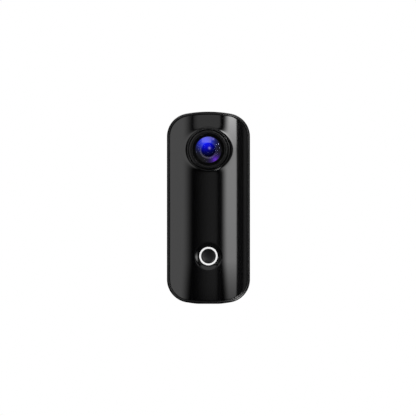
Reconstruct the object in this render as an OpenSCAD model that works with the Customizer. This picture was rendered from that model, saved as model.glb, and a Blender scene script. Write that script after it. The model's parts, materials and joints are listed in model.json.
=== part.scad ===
// Thumb-size action camera: a glossy front cover on a satin rear housing, a wide-angle lens in a
// raised collar, a lit shutter button, and a hinged door over the charging and card sockets.
// X runs across the face, the lens looks along -Y, and the camera stands on its foot at Z = 0.

/* [Body] */
// Width across the sides
body_w = 27; // [25:0.1:33]
// Height from the foot to the top
body_h = 62.4; // [62:0.1:76]
// Depth from the crown of the face to the flat back
body_d = 17.75; // [16.9:0.05:21.3]
// Wall of both shells
wall = 1.2; // [1:0.05:1.45]
// Width of the housing's rim round the glossy face
rim_w = 0.88; // [0.73:0.01:1.06]
// Thickness of the front cover's skirt inside the rim
skirt_t = 0.95; // [0.8:0.05:1.15]
// Radius of the top and bottom edges, seen from the front
end_arc_r = 41.5; // [36:0.5:60]
// Radius of the four corners, seen from the front
corner_r = 7.55; // [6.5:0.05:8.2]
// Radius of the bulge of the face across its width
face_r = 30; // [27:0.5:60]
// How much further back the face lies at its top and bottom ends
end_fall = 0.9; // [0.3:0.1:1.2]
// Rounding of the front edge
front_edge_r = 1; // [0.8:0.05:1.2]
// Rounding of the back edge
back_edge_r = 3; // [2:0.1:3.3]
// How much is cut off the bottom curve for the flat foot
foot_cut = 0.15; // [0.05:0.05:0.3]

/* [Lens] */
// Distance from the top of the body down to the lens axis
lens_drop = 12.4; // [12.2:0.1:14]
// How far the lens bezel stands out of the crown of the face
lens_proud = 2.6; // [2.2:0.1:3.2]
// How far the collar of the front cover stands out
collar_proud = 1.9; // [1.5:0.1:2.1]
// Outer radius of the lens bezel
bezel_r = 6.3; // [6:0.05:7.6]
// Radius of the visible glass
glass_r = 4.2; // [3.6:0.05:4.4]
// Radius of curvature of the front glass
dome_r = 8; // [7:0.5:14]

/* [Shutter button] */
// Height of the button axis above the foot
button_z = 15.5; // [15:0.1:17]
// Radius of the button cap
button_r = 2.2; // [1.9:0.05:2.65]
// Width of the light ring
light_ring_w = 0.78; // [0.6:0.02:0.9]
// Radius of the dish round the button
dish_r = 4.55; // [4.4:0.05:5.6]
// Depth of the dish
dish_depth = 0.6; // [0.3:0.05:0.7]
// Travel of the button
button_travel = 0.3; // [0.1:0.05:0.35]

/* [Mode key] */
// Height of the side key above the foot
mode_key_z = 40; // [39.6:0.1:41]
// Length of the side key
mode_key_len = 6.4; // [4:0.1:7.7]
// Width of the side key
mode_key_w = 2.3; // [1.8:0.1:2.4]
// Travel of the side key
mode_key_travel = 0.25; // [0.1:0.05:0.3]

/* [Ports] */
// Length of the port bay along the side
bay_len = 25.6; // [25.2:0.1:27]
// Thickness of the port door
door_t = 0.9; // [0.8:0.05:1.1]
// Radius of the door's hinge barrel
hinge_r = 0.6; // [0.55:0.01:0.72]
// Radius of the hinge pin
hinge_pin_r = 0.3; // [0.25:0.01:0.36]

/* [Back] */
// How far the back pad stands out of the housing
pad_proud = 0.15; // [0.1:0.05:0.3]
// Thickness of the back pad
pad_t = 0.5; // [0.4:0.05:0.6]
// Radius of the holding magnets
magnet_r = 4; // [3:0.1:4.8]

/* [Inside] */
// Thickness of the battery
battery_t = 4.6; // [3.8:0.05:5.5]
// Thickness of the main board
board_t = 0.8; // [0.6:0.05:1]

/* [Hidden] */
$fn = 64;

// Fits and clearances
gap = 0.1;            // between parts that are assembled side by side
slip = 0.05;          // radial play of a plain sliding or turning fit
groove_gap = 0.2;     // the shadow gap round the bezel and the light ring
screw_play = 0.2;     // radial play of a screw in its clearance hole
eps = 0.01;

// Front-to-back stations; the body is centred on Y over its whole depth
total_d = lens_proud + body_d + pad_proud;
front_y = -total_d / 2;
crown_y = front_y + lens_proud;
back_y = total_d / 2 - pad_proud;
front_wall = wall + 0.2;
back_wall = wall + 0.1;
back_in_y = back_y - back_wall;
lip_y = crown_y - collar_proud;
half_w = body_w / 2;
in_half_w = half_w - wall;
lens_z = body_h - lens_drop;
end_len = 14;                  // length over which the ends of the face fall away

// Board stack, counted forwards from the inside of the back
foam_t = 0.4;
tray_t = 0.4;
board_back_gap = 0.3;
battery_back_y = back_in_y - foam_t - gap;
battery_front_y = battery_back_y - battery_t;
tray_front_y = battery_front_y - gap - tray_t;
board_back_y = tray_front_y - board_back_gap;
board_y = board_back_y - board_t;         // front face of the main board
board_z0 = 12;
board_z1 = 42;

// The cover's skirt sits inside the rim, and its end rests on a ledge with a gasket between them
side_edge_y = crown_y + face_r - sqrt(pow(face_r, 2) - pow(half_w, 2)) + front_edge_r;
seam_y = side_edge_y + 0.15;
skirt_inset = rim_w + slip;
skirt_in = skirt_inset + skirt_t;
ledge_t = 0.9;
gasket_w = 0.5;
gasket_inset = skirt_inset + (skirt_t - gasket_w) / 2;
gasket_h = 0.6;

// Port bay, door and hinge
usb_w = 8.94;
usb_h = 3.16;
usb_len = 7.35;
card_w = 11;
card_len = 15;
card_t = 0.7;
socket_w = 12.4;
socket_h = 1.45;
bay_z0 = 13;
bay_z1 = bay_z0 + bay_len;
usb_z = bay_z0 + 5.5;
card_z = bay_z0 + 18.4;
usb_y = board_y - usb_h / 2;
card_y = board_y - socket_h / 2;
bay_h = 4.4;
bay_y0 = board_y - 3.55;
bay_y1 = bay_y0 + bay_h;
door_in_x = half_w - door_t;
seal_t = 0.5;
bay_floor_x = door_in_x - seal_t - 0.2;
bay_floor_t = 0.5;
bay_in_x = bay_floor_x - bay_floor_t;
hinge_x = half_w - hinge_r;
hinge_y = bay_y1 + hinge_r + 0.2;
door_y0 = bay_y0 - 0.15;
door_z0 = bay_z0 - 0.6;
door_z1 = bay_z1 + 0.6;
door_corner_r = 1.1;
door_gap = 0.12;
door_open_deg = 110;
pin_end = 0.9;                 // how far the hinge pin runs into the housing at each end
card_push = 0.5;
card_pop = 0.5;

// Housing screws and their bosses
screw_x = 7.9;
screw_z0 = 8;
screw_z1 = body_h - 7.5;
boss_r = 1.75;
screw_r = 0.7;
screw_head_r = 1.4;
screw_head_h = 0.8;
boss_split_y = 3.5;
boss_root_y = crown_y + 1.8;   // the bosses start inside the face wall
pad_inset = 3.7;
pad_seat_y = back_y - (pad_t - pad_proud);
screw_seat_y = pad_seat_y - screw_head_h - gap;

// Lens stack
bore_r = bezel_r + groove_gap;
collar_r = bore_r + 0.55;
collar_fillet = 1.8;
collar_base_y = crown_y + 1.3;
bezel_back_y = lip_y + 2.5;
barrel_r = 4.85;
barrel_front_y = front_y + 1.35;
holder_y0 = crown_y + 4.15;
holder_half = 6;
sensor_board_y = holder_y0 + 6;
barrel_back_y = holder_y0 + 3.9;
glass_edge_y = barrel_front_y + 0.1;
glass_back_y = barrel_front_y + 1.4;
glass_play = 0.05;
ear_x = 8.6;
ear_z = lens_z - 4;
ear_t = 1.4;

// Shutter button stack
dish_y = crown_y + dish_depth;
light_r0 = button_r + 0.12;
light_r1 = light_r0 + light_ring_w;
light_hole_r = light_r1 + groove_gap;
button_pad_y = dish_y + 1.2;          // inner face of the thickened wall round the button
light_flange_t = 0.4;
light_flange_r = light_r1 + 1.1;
light_back_y = button_pad_y + light_flange_t;
cap_front_y = dish_y - 0.2;
cap_flange_r = light_r0 + 0.55;
cap_flange_y = light_back_y + gap;
cap_flange_t = 0.4;
cap_stem_y = cap_flange_y + cap_flange_t + 0.7;
switch_front_y = cap_stem_y + button_travel + slip;
switch_h = 0.9;
button_board_y = switch_front_y + switch_h;
button_board_t = 0.6;
button_seal_r = light_flange_r + 0.4;
button_boss_r = 1.1;
button_screw_reach = button_seal_r + button_boss_r + gap;
button_screw_x = button_screw_reach * cos(43);
button_screw_z = button_screw_reach * sin(43);
button_board_w = 2 * (button_screw_x + 1);
button_board_h = 2 * (button_screw_z + 1);

// Main board screws and side parts
board_x0 = -(half_w - 4.7);
board_x1 = bay_in_x - 0.2;
board_boss_r = 1.5;
board_screws_at = [[board_x0 + 1.8, board_z0 + 1.9], [bay_in_x - 2.5, board_z1 - 1.8]];
chip_x1 = bay_floor_x - usb_len - 0.85;
chip_x0 = chip_x1 - 7.2;
key_y = board_y - 1;
key_switch_x0 = -(in_half_w - 1.35);
speaker_z0 = 15.5;
speaker_z1 = 25.5;
speaker_y0 = seam_y + ledge_t + 0.6;
speaker_y1 = tray_front_y - 0.4;
speaker_y = (speaker_y0 + speaker_y1) / 2;
mic_y = 2;
magnet_t = 1.5;
yoke_t = 0.5;
ring_r = magnet_r + 0.7;              // outside of the ring that locates a magnet
magnet_low_z = back_edge_r - foot_cut + 0.35 + magnet_r;
magnet_zs = [magnet_low_z, lens_z];

// ---------- outline of the body, seen from the front ----------

corner_cx = half_w - corner_r;
arc_rise = sqrt(pow(end_arc_r - corner_r, 2) - pow(corner_cx, 2));
top_arc_cz = body_h - end_arc_r;
top_corner_cz = top_arc_cz + arc_rise;
bottom_arc_cz = end_arc_r - foot_cut;
bottom_corner_cz = bottom_arc_cz - arc_rise;
corner_sweep = atan2(arc_rise, corner_cx);

function on_arc(cx, cz, r, angle) = [cx + r * cos(angle), cz + r * sin(angle)];

// Points of the outline, moved inwards by inset, counter-clockwise from the right side
function outline_points(inset, corner_steps = 8, arc_steps = 8) = concat(
    [for (k = [0:corner_steps])
        on_arc(corner_cx, top_corner_cz, corner_r - inset, corner_sweep * k / corner_steps)],
    [for (k = [1:arc_steps - 1])
        on_arc(0, top_arc_cz, end_arc_r - inset, corner_sweep + (180 - 2 * corner_sweep) * k / arc_steps)],
    [for (k = [0:corner_steps])
        on_arc(-corner_cx, top_corner_cz, corner_r - inset, 180 - corner_sweep * (1 - k / corner_steps))],
    [for (k = [0:corner_steps])
        on_arc(-corner_cx, bottom_corner_cz, corner_r - inset, 180 + corner_sweep * k / corner_steps)],
    [for (k = [1:arc_steps - 1])
        on_arc(0, bottom_arc_cz, end_arc_r - inset,
               180 + corner_sweep + (180 - 2 * corner_sweep) * k / arc_steps)],
    [for (k = [0:corner_steps])
        on_arc(corner_cx, bottom_corner_cz, corner_r - inset, -corner_sweep * (1 - k / corner_steps))]
);

module outline(inset = 0) polygon(outline_points(inset));

// ---------- the rounded body as one convex solid ----------

function square_of(v) = v * v;
function end_distance(z) = min(body_h - z, z + foot_cut);
function face_y(x, z) = crown_y + face_r - sqrt(square_of(face_r) - square_of(x))
    + end_fall * square_of(max(0, 1 - end_distance(z) / end_len));

// Rings that step round the front edge, then round the back edge, of a body inset by skin
function front_ring(skin, depth, edge_r, s) = [for (p = outline_points(skin + s))
    [p[0], face_y(p[0], p[1]) + depth + edge_r * (1 - sqrt(1 - square_of(1 - s / edge_r))), p[1]]];
function back_ring(skin, y, edge_r, angle) = [for (p = outline_points(skin + edge_r * (1 - cos(angle))))
    [p[0], y - edge_r * (1 - sin(angle)), p[1]]];
function face_grid(depth) = [for (u = [-4:4], t = [0.35, 0.6, 0.85, 1])
    let (x = u * (half_w - 4) / 4)
    each [for (z = [body_h - t * end_len, t * end_len - foot_cut]) [x, face_y(x, z) + depth, z]]];

module point_hull(points) hull() polyhedron(points, [for (i = [0:3:len(points) - 3]) [i, i + 1, i + 2]]);

// skin is the inset from the outside; depth and y place the inner face and the inner back
module body_solid(skin, depth, y) {
    front_r = max(0.5, front_edge_r - skin / 2);
    rear_r = back_edge_r - skin;
    point_hull(concat(
        [for (s = [0, 0.12, 0.35, 0.65, 1]) each front_ring(skin, depth, front_r, s * front_r)],
        face_grid(depth),
        [for (angle = [0, 22, 45, 68, 90]) each back_ring(skin, y, rear_r, angle)]));
}

module body_outside() body_solid(0, 0, back_y);
module body_inside() body_solid(wall, front_wall, back_in_y);
module cover_inside() body_solid(skirt_in, front_wall, back_in_y);

// ---------- drawing helpers ----------

module along_y(y0, y1) translate([0, y1, 0]) rotate([90, 0, 0]) linear_extrude(y1 - y0) children();
module along_x(x0, x1) translate([x0, 0, 0]) rotate([90, 0, 90]) linear_extrude(x1 - x0) children();
module rod_y(r, y0, y1, x, z) translate([x, y1, z]) rotate([90, 0, 0]) cylinder(r = r, h = y1 - y0);
module rod_x(r, x0, x1, y, z) translate([x0, y, z]) rotate([0, 90, 0]) cylinder(r = r, h = x1 - x0);
module tube_y(r_in, r_out, y0, y1, x, z) difference() {
    rod_y(r_out, y0, y1, x, z);
    rod_y(r_in, y0 - 1, y1 + 1, x, z);
}
// A box given by its low and high corners
module block(low, high) translate(low) cube(high - low);
// A solid of revolution about the lens axis, from a profile of [radius, y]
module turned(z) translate([0, 0, z]) rotate([-90, 0, 0]) rotate_extrude() children();
module stadium(length, width) {
    square([length - width, width], center = true);
    for (side = [-1, 1]) translate([side * (length - width) / 2, 0]) circle(d = width);
}
module rounded_rect(w, h, r) {
    square([w - 2 * r, h], center = true);
    square([w, h - 2 * r], center = true);
    for (x = [-1, 1], y = [-1, 1]) translate([x * (w / 2 - r), y * (h / 2 - r)]) circle(r);
}
// A pan-head screw along Y: its head sits on head_y and its shank runs forwards
module screw_y(x, z, head_y, shank, r, head_r, head_h) difference() {
    union() {
        rod_y(head_r, head_y, head_y + head_h, x, z);
        rod_y(r, head_y - shank, head_y + eps, x, z);
    }
    translate([x, head_y + head_h, z]) for (turn = [0, 90]) rotate([0, turn, 0])
        cube([head_r * 1.2, head_h, head_r * 0.28], center = true);
}

module at_housing_screws() for (x = [-screw_x, screw_x], z = [screw_z0, screw_z1])
    translate([x, 0, z]) children();
module at_button_screws() for (s = [-1, 1])
    translate([s * button_screw_x, 0, button_z - s * button_screw_z]) children();

// ---------- shells ----------

module gasket_ring(play) difference() {
    outline(gasket_inset - play);
    outline(gasket_inset + gasket_w + play);
}

// The collar: a short wall that flares into the face
module collar() turned(lens_z) difference() {
    translate([bore_r - 0.1, lip_y]) square([collar_r + collar_fillet - bore_r + 0.1, collar_base_y - lip_y]);
    translate([collar_r, lip_y - 1]) square([collar_fillet + 1, collar_base_y - collar_fillet - lip_y + 1]);
    translate([collar_r + collar_fillet, collar_base_y - collar_fillet]) circle(collar_fillet);
}

module front_bosses() {
    at_housing_screws() rod_y(boss_r, boss_root_y, boss_split_y - gap, 0, 0);
    for (x = [-ear_x, ear_x]) rod_y(1.6, boss_root_y, holder_y0 - gap, x, ear_z);
    for (p = board_screws_at) rod_y(board_boss_r, boss_root_y, board_y - gap, p[0], p[1]);
    at_button_screws() rod_y(button_boss_r, crown_y + 1, button_board_y - gap, 0, 0);
    rod_y(light_flange_r + 0.8, dish_y, button_pad_y, 0, button_z);
    tube_y(5.4, bore_r + 1, lip_y + 1, holder_y0 - gap, 0, lens_z);
}

module front_cover() color("#101012") difference() {
    union() {
        difference() {
            intersection() {
                body_outside();
                along_y(front_y, seam_y) outline(skirt_inset);
            }
            cover_inside();
        }
        intersection() {
            front_bosses();
            translate([0, 0.3, 0]) body_outside();
        }
        collar();
    }
    rod_y(bore_r, lip_y - 1, bezel_back_y, 0, lens_z);
    rod_y(5.4, lip_y - 1, holder_y0 + 1, 0, lens_z);
    turned(button_z) polygon([[0, crown_y - 1], [dish_r + 0.8, crown_y - 1], [dish_r, crown_y],
                              [light_hole_r + 0.1, dish_y], [0, dish_y]]);
    rod_y(light_hole_r, crown_y - 1, button_pad_y + 1, 0, button_z);
    at_housing_screws() rod_y(screw_r + slip, crown_y + 4.6, boss_split_y + 1, 0, 0);
    for (x = [-ear_x, ear_x]) rod_y(0.6 + slip, crown_y + 2.8, holder_y0 + 1, x, ear_z);
    for (p = board_screws_at) rod_y(0.6 + slip, crown_y + 4.6, board_y + 1, p[0], p[1]);
    at_button_screws() rod_y(0.5 + slip, crown_y + 2.4, button_board_y + 1, 0, 0);
    along_y(seam_y - gasket_h / 2 - slip, seam_y + 1) gasket_ring(slip);
}

module door_shape(grow) translate([(door_y0 + hinge_y) / 2, (door_z0 + door_z1) / 2]) {
    w = hinge_y - door_y0 + 2 * grow;
    h = door_z1 - door_z0 + 2 * grow;
    translate([door_corner_r / 2, 0]) square([w - door_corner_r, h], center = true);
    rounded_rect(w, h, door_corner_r);
}

module hinge_rod(r, z0, z1) translate([hinge_x, hinge_y, z0]) cylinder(r = r, h = z1 - z0);

// Everything that is cut out of the housing's side for the door, its hinge and the two sockets
module port_cut() {
    along_x(door_in_x - gap, half_w + 1) intersection() {
        door_shape(door_gap);
        translate([door_y0 - 1, 0]) square([hinge_y - door_y0 + 1, body_h]);
    }
    hinge_rod(hinge_r + door_gap, door_z0 - 1.5 * door_gap, door_z1 + 1.5 * door_gap);
    translate([hinge_x, hinge_y, 0]) rotate([0, 0, door_open_deg])
        block([door_in_x - hinge_x, -2, door_z0 - 2 * door_gap],
              [hinge_r + 1.5 * door_gap, 0, door_z1 + 2 * door_gap]);
    hinge_rod(hinge_pin_r + 0.02, door_z0 - pin_end - gap, door_z1 + pin_end + gap);
    block([bay_floor_x, bay_y0, bay_z0], [half_w, bay_y1, bay_z1]);
    along_x(bay_in_x - 1, half_w) {
        translate([usb_y, usb_z]) rotate(90) stadium(usb_w + 2 * gap, usb_h + 2 * gap);
        translate([card_y, card_z]) square([card_t + 0.5, card_w + 0.4], center = true);
    }
    translate([half_w + 0.5, door_y0 - 0.35, (bay_z0 + bay_z1) / 2]) sphere(1.1);
}

module rear_housing() color("#18181a") difference() {
    union() {
        difference() {
            body_outside();
            body_inside();
        }
        along_y(seam_y, seam_y + ledge_t) difference() {
            outline(wall / 2);
            outline(skirt_in);
        }
        block([bay_in_x, bay_y0 - 0.5, bay_z0 - 1.4],
              [in_half_w + 0.3, hinge_y + hinge_r + 0.35, bay_z1 + 1.4]);
        at_housing_screws() rod_y(boss_r, boss_split_y, back_in_y + 0.3, 0, 0);
        for (z = magnet_zs)
            tube_y(magnet_r + gap, ring_r, back_in_y - magnet_t - yoke_t, back_in_y + 0.2, 0, z);
    }
    along_y(front_y, seam_y) outline(rim_w);
    block([-half_w, crown_y, -2], [half_w, back_y, 0]);
    along_y(seam_y - 1, seam_y + gasket_h / 2 + slip) gasket_ring(slip);
    along_y(pad_seat_y, back_y + 1) outline(pad_inset - gap);
    at_housing_screws() {
        rod_y(screw_r + screw_play, boss_split_y - 1, back_y, 0, 0);
        rod_y(screw_head_r + screw_play, screw_seat_y, back_y, 0, 0);
    }
    port_cut();
    along_x(-half_w - 1, -in_half_w + 0.5) {
        translate([key_y, mode_key_z]) rotate(90) stadium(mode_key_len + 2 * gap, mode_key_w + 2 * gap);
        for (row = [-1:1], hole = [-2:2])
            translate([speaker_y + row * 1.1, (speaker_z0 + speaker_z1) / 2 + hole * 1.3]) circle(0.4);
    }
    translate([0, mic_y, body_h - wall - 1]) cylinder(r = 0.5, h = wall + 2);
}

module housing_gasket() color("#303033") along_y(seam_y - gasket_h / 2, seam_y + gasket_h / 2) gasket_ring(0);

module back_pad() color("#202022")
    along_y(pad_seat_y, back_y + pad_proud) outline(pad_inset);

module housing_screws() color("#8a8a8e") at_housing_screws()
    screw_y(0, 0, screw_seat_y, 9.5, screw_r, screw_head_r, screw_head_h);

// ---------- lens ----------

module lens_bezel() color("#141416") turned(lens_z) difference() {
    polygon([[glass_r + slip, front_y + 1], [bezel_r - 1.1, front_y], [bezel_r - 0.3, front_y],
             [bezel_r, front_y + 0.3],
             [bezel_r, bezel_back_y - 0.02], [barrel_r + slip, bezel_back_y - 0.02],
             [barrel_r + slip, barrel_front_y - slip], [glass_r + slip, barrel_front_y - slip]]);
    translate([bezel_r - 0.6, lip_y + 1]) square([1, 0.8]);
}

module lens_seal() color("#26262a") turned(lens_z) translate([bezel_r - 0.22, lip_y + 1.4]) circle(0.36);

second_y = [glass_back_y + 0.6, glass_back_y + 1.8];
third_y = [glass_back_y + 3, glass_back_y + 4.2];
rear_y = [glass_back_y + 5.6, glass_back_y + 6.9];
mid_bore_r = 3.3;
rear_bore_r = 2.7;
step_y = second_y[1] + 0.4;

module lens_barrel() color("#1c1c1f") difference() {
    rod_y(barrel_r, barrel_front_y, barrel_back_y, 0, lens_z);
    rod_y(glass_r + glass_play, barrel_front_y - 1, glass_back_y, 0, lens_z);
    rod_y(mid_bore_r, barrel_front_y - 1, step_y, 0, lens_z);
    rod_y(rear_bore_r, barrel_front_y - 1, barrel_back_y + 1, 0, lens_z);
}

dome_rise = dome_r - sqrt(square_of(dome_r) - square_of(glass_r));

module front_element() color("#2038c0", 0.6) difference() {
    intersection() {
        rod_y(glass_r, glass_edge_y - dome_rise - 1, glass_back_y, 0, lens_z);
        translate([0, glass_edge_y - dome_rise + dome_r, lens_z]) sphere(dome_r, $fn = 128);
    }
    translate([0, glass_back_y + 2, lens_z]) sphere(3.6);
}

// A biconvex element: two spherical faces meeting a cylindrical edge
module biconvex(r, span, ball_r) intersection() {
    rod_y(r, span[0], span[1], 0, lens_z);
    translate([0, span[0] + ball_r, lens_z]) sphere(ball_r, $fn = 200);
    translate([0, span[1] - ball_r, lens_z]) sphere(ball_r, $fn = 200);
}

module second_element() color("#3050d0", 0.6) biconvex(mid_bore_r - glass_play, second_y, 12);
module third_element() color("#4060d0", 0.6) biconvex(rear_bore_r - glass_play, third_y, 9);
module rear_element() color("#4060d0", 0.6) biconvex(rear_bore_r - glass_play, rear_y, 9);

module element_spacers() color("#151517") {
    tube_y(2.4, mid_bore_r - glass_play, second_y[1] + slip, step_y - slip, 0, lens_z);
    tube_y(2.1, rear_bore_r - glass_play, third_y[1] + slip, rear_y[0] - slip, 0, lens_z);
}

filter_half = 4.2;
module lens_holder() color("#1a1a1c") difference() {
    union() {
        block([-holder_half, holder_y0, lens_z - holder_half],
              [holder_half, sensor_board_y, lens_z + holder_half]);
        along_y(holder_y0, holder_y0 + ear_t) translate([0, ear_z]) stadium(2 * (ear_x + 1.6), 3.2);
    }
    rod_y(barrel_r + slip, holder_y0 - 1, holder_y0 + 4, 0, lens_z);
    block([-3.2, holder_y0, lens_z - 3.2], [3.2, sensor_board_y + 1, lens_z + 3.2]);
    block([-filter_half, holder_y0 + 4.4, lens_z - filter_half],
          [filter_half, sensor_board_y + 1, lens_z + filter_half]);
    for (x = [-ear_x, ear_x]) rod_y(0.6 + screw_play, holder_y0 - 1, holder_y0 + 3, x, ear_z);
    for (s = [-1, 1]) rod_y(0.5 + slip, sensor_board_y - 3.5, sensor_board_y + 1, s * 5, lens_z + s * 5);
}

module lens_holder_screws() color("#8a8a8e") for (x = [-ear_x, ear_x])
    screw_y(x, ear_z, holder_y0 + ear_t, 2.4, 0.6, 1.1, 0.6);

module ir_filter() color("#7fb0a8", 0.7) along_y(holder_y0 + 4.4, holder_y0 + 4.7) translate([0, lens_z])
    square(2 * (filter_half - 0.1), center = true);

module image_sensor() color("#2c3440") along_y(sensor_board_y - 1, sensor_board_y)
    translate([0, lens_z]) square([7.6, 6.6], center = true);

module sensor_board() color("#14442c") difference() {
    along_y(sensor_board_y, sensor_board_y + board_t) translate([0, lens_z]) rounded_rect(12, 12, 0.6);
    for (s = [-1, 1]) rod_y(0.5 + screw_play, sensor_board_y - 1, sensor_board_y + 2, s * 5, lens_z + s * 5);
}

module sensor_screws() color("#8a8a8e") for (s = [-1, 1])
    screw_y(s * 5, lens_z + s * 5, sensor_board_y + board_t, 3.6, 0.5, 0.95, 0.5);

flex_t = 0.15;
module sensor_flex() color("#c07a28") {
    y0 = board_back_y;
    y1 = sensor_board_y + board_t;
    z = (board_z1 + lens_z - holder_half) / 2;     // it crosses in the gap between the two boards
    block([-3, y0, board_z1 - 2], [3, y0 + flex_t, z]);
    block([-3, min(y0, y1), z], [3, max(y0, y1) + flex_t, z + flex_t]);
    block([-3, y1, z], [3, y1 + flex_t, lens_z - 3.4]);
}

// ---------- shutter button ----------

module button_cap() color("#1b1b1e") difference() {
    union() {
        rod_y(button_r, cap_front_y, cap_flange_y + eps, 0, button_z);
        rod_y(cap_flange_r, cap_flange_y, cap_flange_y + cap_flange_t, 0, button_z);
        rod_y(0.9, cap_flange_y, cap_stem_y, 0, button_z);
    }
    translate([0, cap_front_y - 11.85, button_z]) sphere(12, $fn = 96);
}

module light_ring() color("#fbfbff") {
    tube_y(light_r0, light_r1, dish_y - 0.12, light_back_y, 0, button_z);
    tube_y(light_r0, light_flange_r, button_pad_y, light_back_y, 0, button_z);
}

module button_seal() color("#3a3a3e")
    tube_y(cap_flange_r + button_travel, button_seal_r, light_back_y, light_back_y + 0.5, 0, button_z);

module button_board() color("#14442c") difference() {
    along_y(button_board_y, button_board_y + button_board_t) translate([0, button_z])
        rounded_rect(button_board_w, button_board_h, 0.8);
    at_button_screws() rod_y(0.5 + screw_play, button_board_y - 1, button_board_y + 2, 0, 0);
    for (p = board_screws_at) rod_y(board_boss_r + gap, button_board_y - 1, button_board_y + 2, p[0], p[1]);
}

module button_board_screws() color("#8a8a8e") at_button_screws()
    screw_y(0, 0, button_board_y + button_board_t, 2.2, 0.5, 0.9, 0.45);

module ring_lights() color("#f4f0c0") for (turn = [0:90:270]) translate([0, 0, button_z]) rotate([0, turn, 0])
    block([light_r0, button_board_y - 0.45, -0.5], [light_r0 + 0.5, button_board_y, 0.5]);

module shutter_switch() color("#b8b8bc") difference() {
    along_y(switch_front_y, button_board_y) translate([0, button_z]) square(3, center = true);
    rod_y(0.85, switch_front_y - 1, button_board_y - 0.1, 0, button_z);
}

module shutter_switch_stem() color("#24242a")
    rod_y(0.8, cap_stem_y, switch_front_y + 0.35, 0, button_z);

module button_flex() color("#c07a28") {
    x = button_board_w / 2;
    y0 = button_board_y + button_board_t;
    block([-x - 0.5, y0, button_z + 1], [-x + 0.1, y0 + flex_t, button_z + 2.6]);
    block([-x - 0.65, y0, button_z + 1], [-x - 0.5, board_y, button_z + 2.6]);
    block([-x - 0.65, board_y - flex_t, button_z + 1], [-x + 0.6, board_y, button_z + 2.6]);
}

// ---------- side key ----------

module mode_key() color("#1b1b1e") {
    along_x(-half_w, -in_half_w + 0.3) translate([key_y, mode_key_z]) rotate(90)
        stadium(mode_key_len, mode_key_w);
    along_x(-in_half_w + 0.1, -in_half_w + 0.4) translate([key_y, mode_key_z]) rotate(90)
        stadium(mode_key_len + 1.4, mode_key_w + 1.2);
    rod_x(0.7, -in_half_w + 0.3, key_switch_x0 - 0.5, key_y, mode_key_z);
}

module mode_switch() color("#b8b8bc") difference() {
    block([key_switch_x0, board_y - 2, mode_key_z - 1.7], [board_x0 + 0.9, board_y, mode_key_z + 1.7]);
    rod_x(0.65, key_switch_x0 - 1, key_switch_x0 + 0.4 + mode_key_travel + gap, key_y, mode_key_z);
}

module mode_switch_stem() color("#24242a")
    rod_x(0.6, key_switch_x0 - 0.5, key_switch_x0 + 0.4, key_y, mode_key_z);

// ---------- port door ----------

module port_door() color("#18181a") difference() {
    union() {
        along_x(door_in_x, half_w) intersection() {
            door_shape(0);
            translate([door_y0 - 1, 0]) square([hinge_y - door_y0 + 1, body_h]);
        }
        hinge_rod(hinge_r, door_z0, door_z1);
    }
    hinge_rod(hinge_pin_r + slip, door_z0 - 1, door_z1 + 1);
}

module door_seal() color("#3a3a3e") along_x(door_in_x - seal_t, door_in_x)
    translate([(bay_y0 + bay_y1) / 2 - 0.05, (bay_z0 + bay_z1) / 2]) difference() {
        rounded_rect(bay_h - 0.7, bay_len - 0.6, 0.8);
        rounded_rect(bay_h - 1.8, bay_len - 1.7, 0.4);
    }

module door_hinge_pin() color("#a0a0a4") hinge_rod(hinge_pin_r, door_z0 - pin_end, door_z1 + pin_end);

// ---------- boards and sockets ----------

module main_board() color("#14442c") difference() {
    block([board_x0, board_y, board_z0], [board_x1, board_back_y, board_z1]);
    for (p = board_screws_at) rod_y(0.6 + screw_play, board_y - 1, board_back_y + 1, p[0], p[1]);
}

module main_board_screws() color("#8a8a8e") for (p = board_screws_at)
    screw_y(p[0], p[1], board_back_y, board_t + 3, 0.6, 1, 0.25);

module on_board(low, high, h) block([low[0], board_y - h, low[1]], [high[0], board_y, high[1]]);

module processor() color("#26262a") on_board([chip_x0, 15.8], [chip_x1, 23], 1);
module heat_pad() color("#9aa4b0")
    block([chip_x0 + 0.4, board_y - 1.5, 16.2], [chip_x1 - 0.4, board_y - 1, 22.6]);
module heat_spreader() color("#b87848")
    block([chip_x0, board_y - 1.8, 15.6], [chip_x1 + 0.4, board_y - 1.5, 24.2]);
module memory_chip() color("#26262a") on_board([board_x0 + 0.4, 23.8], [left_chip_x1, 29.6], 0.9);
module radio_shield() color("#b4b6ba") on_board([board_x0 + 0.4, 30.6], [left_chip_x1, 36.6], 1.2);

module board_parts() color("#c8b078") {
    for (k = [0:3]) on_board([-4 + 2.6 * k, 39.2], [-2.4 + 2.6 * k, 40.8], 0.5 + 0.15 * (k % 2));
    for (k = [0:2])
        on_board([board_x0 + 0.6 + k, button_z + 3.5], [board_x0 + 1.2 + k, button_z + 4.5], 0.5);
    on_board([left_chip_x1 + 1.2, 24.2], [left_chip_x1 + 3.2, 25], 0.4);
}

module usb_receptacle() color("#b4b6ba") difference() {
    along_x(bay_floor_x - usb_len, bay_floor_x) translate([usb_y, usb_z]) rotate(90) stadium(usb_w, usb_h);
    along_x(bay_floor_x - usb_len + 0.8, bay_floor_x + 1)
        translate([usb_y, usb_z]) rotate(90) stadium(usb_w - 0.6, usb_h - 0.6);
}

module usb_tongue() color("#202024") along_x(bay_floor_x - usb_len + 0.8, bay_floor_x - 0.8)
    translate([usb_y, usb_z]) square([0.7, 6.69], center = true);

socket_wall = 0.4;
card_x1 = door_in_x - card_pop - slip;
socket_x0 = card_x1 - card_len - card_push - gap - socket_wall;
left_chip_x1 = socket_x0 - 0.8;
module card_socket() color("#b4b6ba") difference() {
    on_board([socket_x0, card_z - socket_w / 2], [bay_in_x - gap, card_z + socket_w / 2], socket_h);
    along_x(socket_x0 + socket_wall, bay_in_x) translate([card_y, card_z])
        square([card_t + 0.3, card_w + 0.3], center = true);
}

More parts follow.
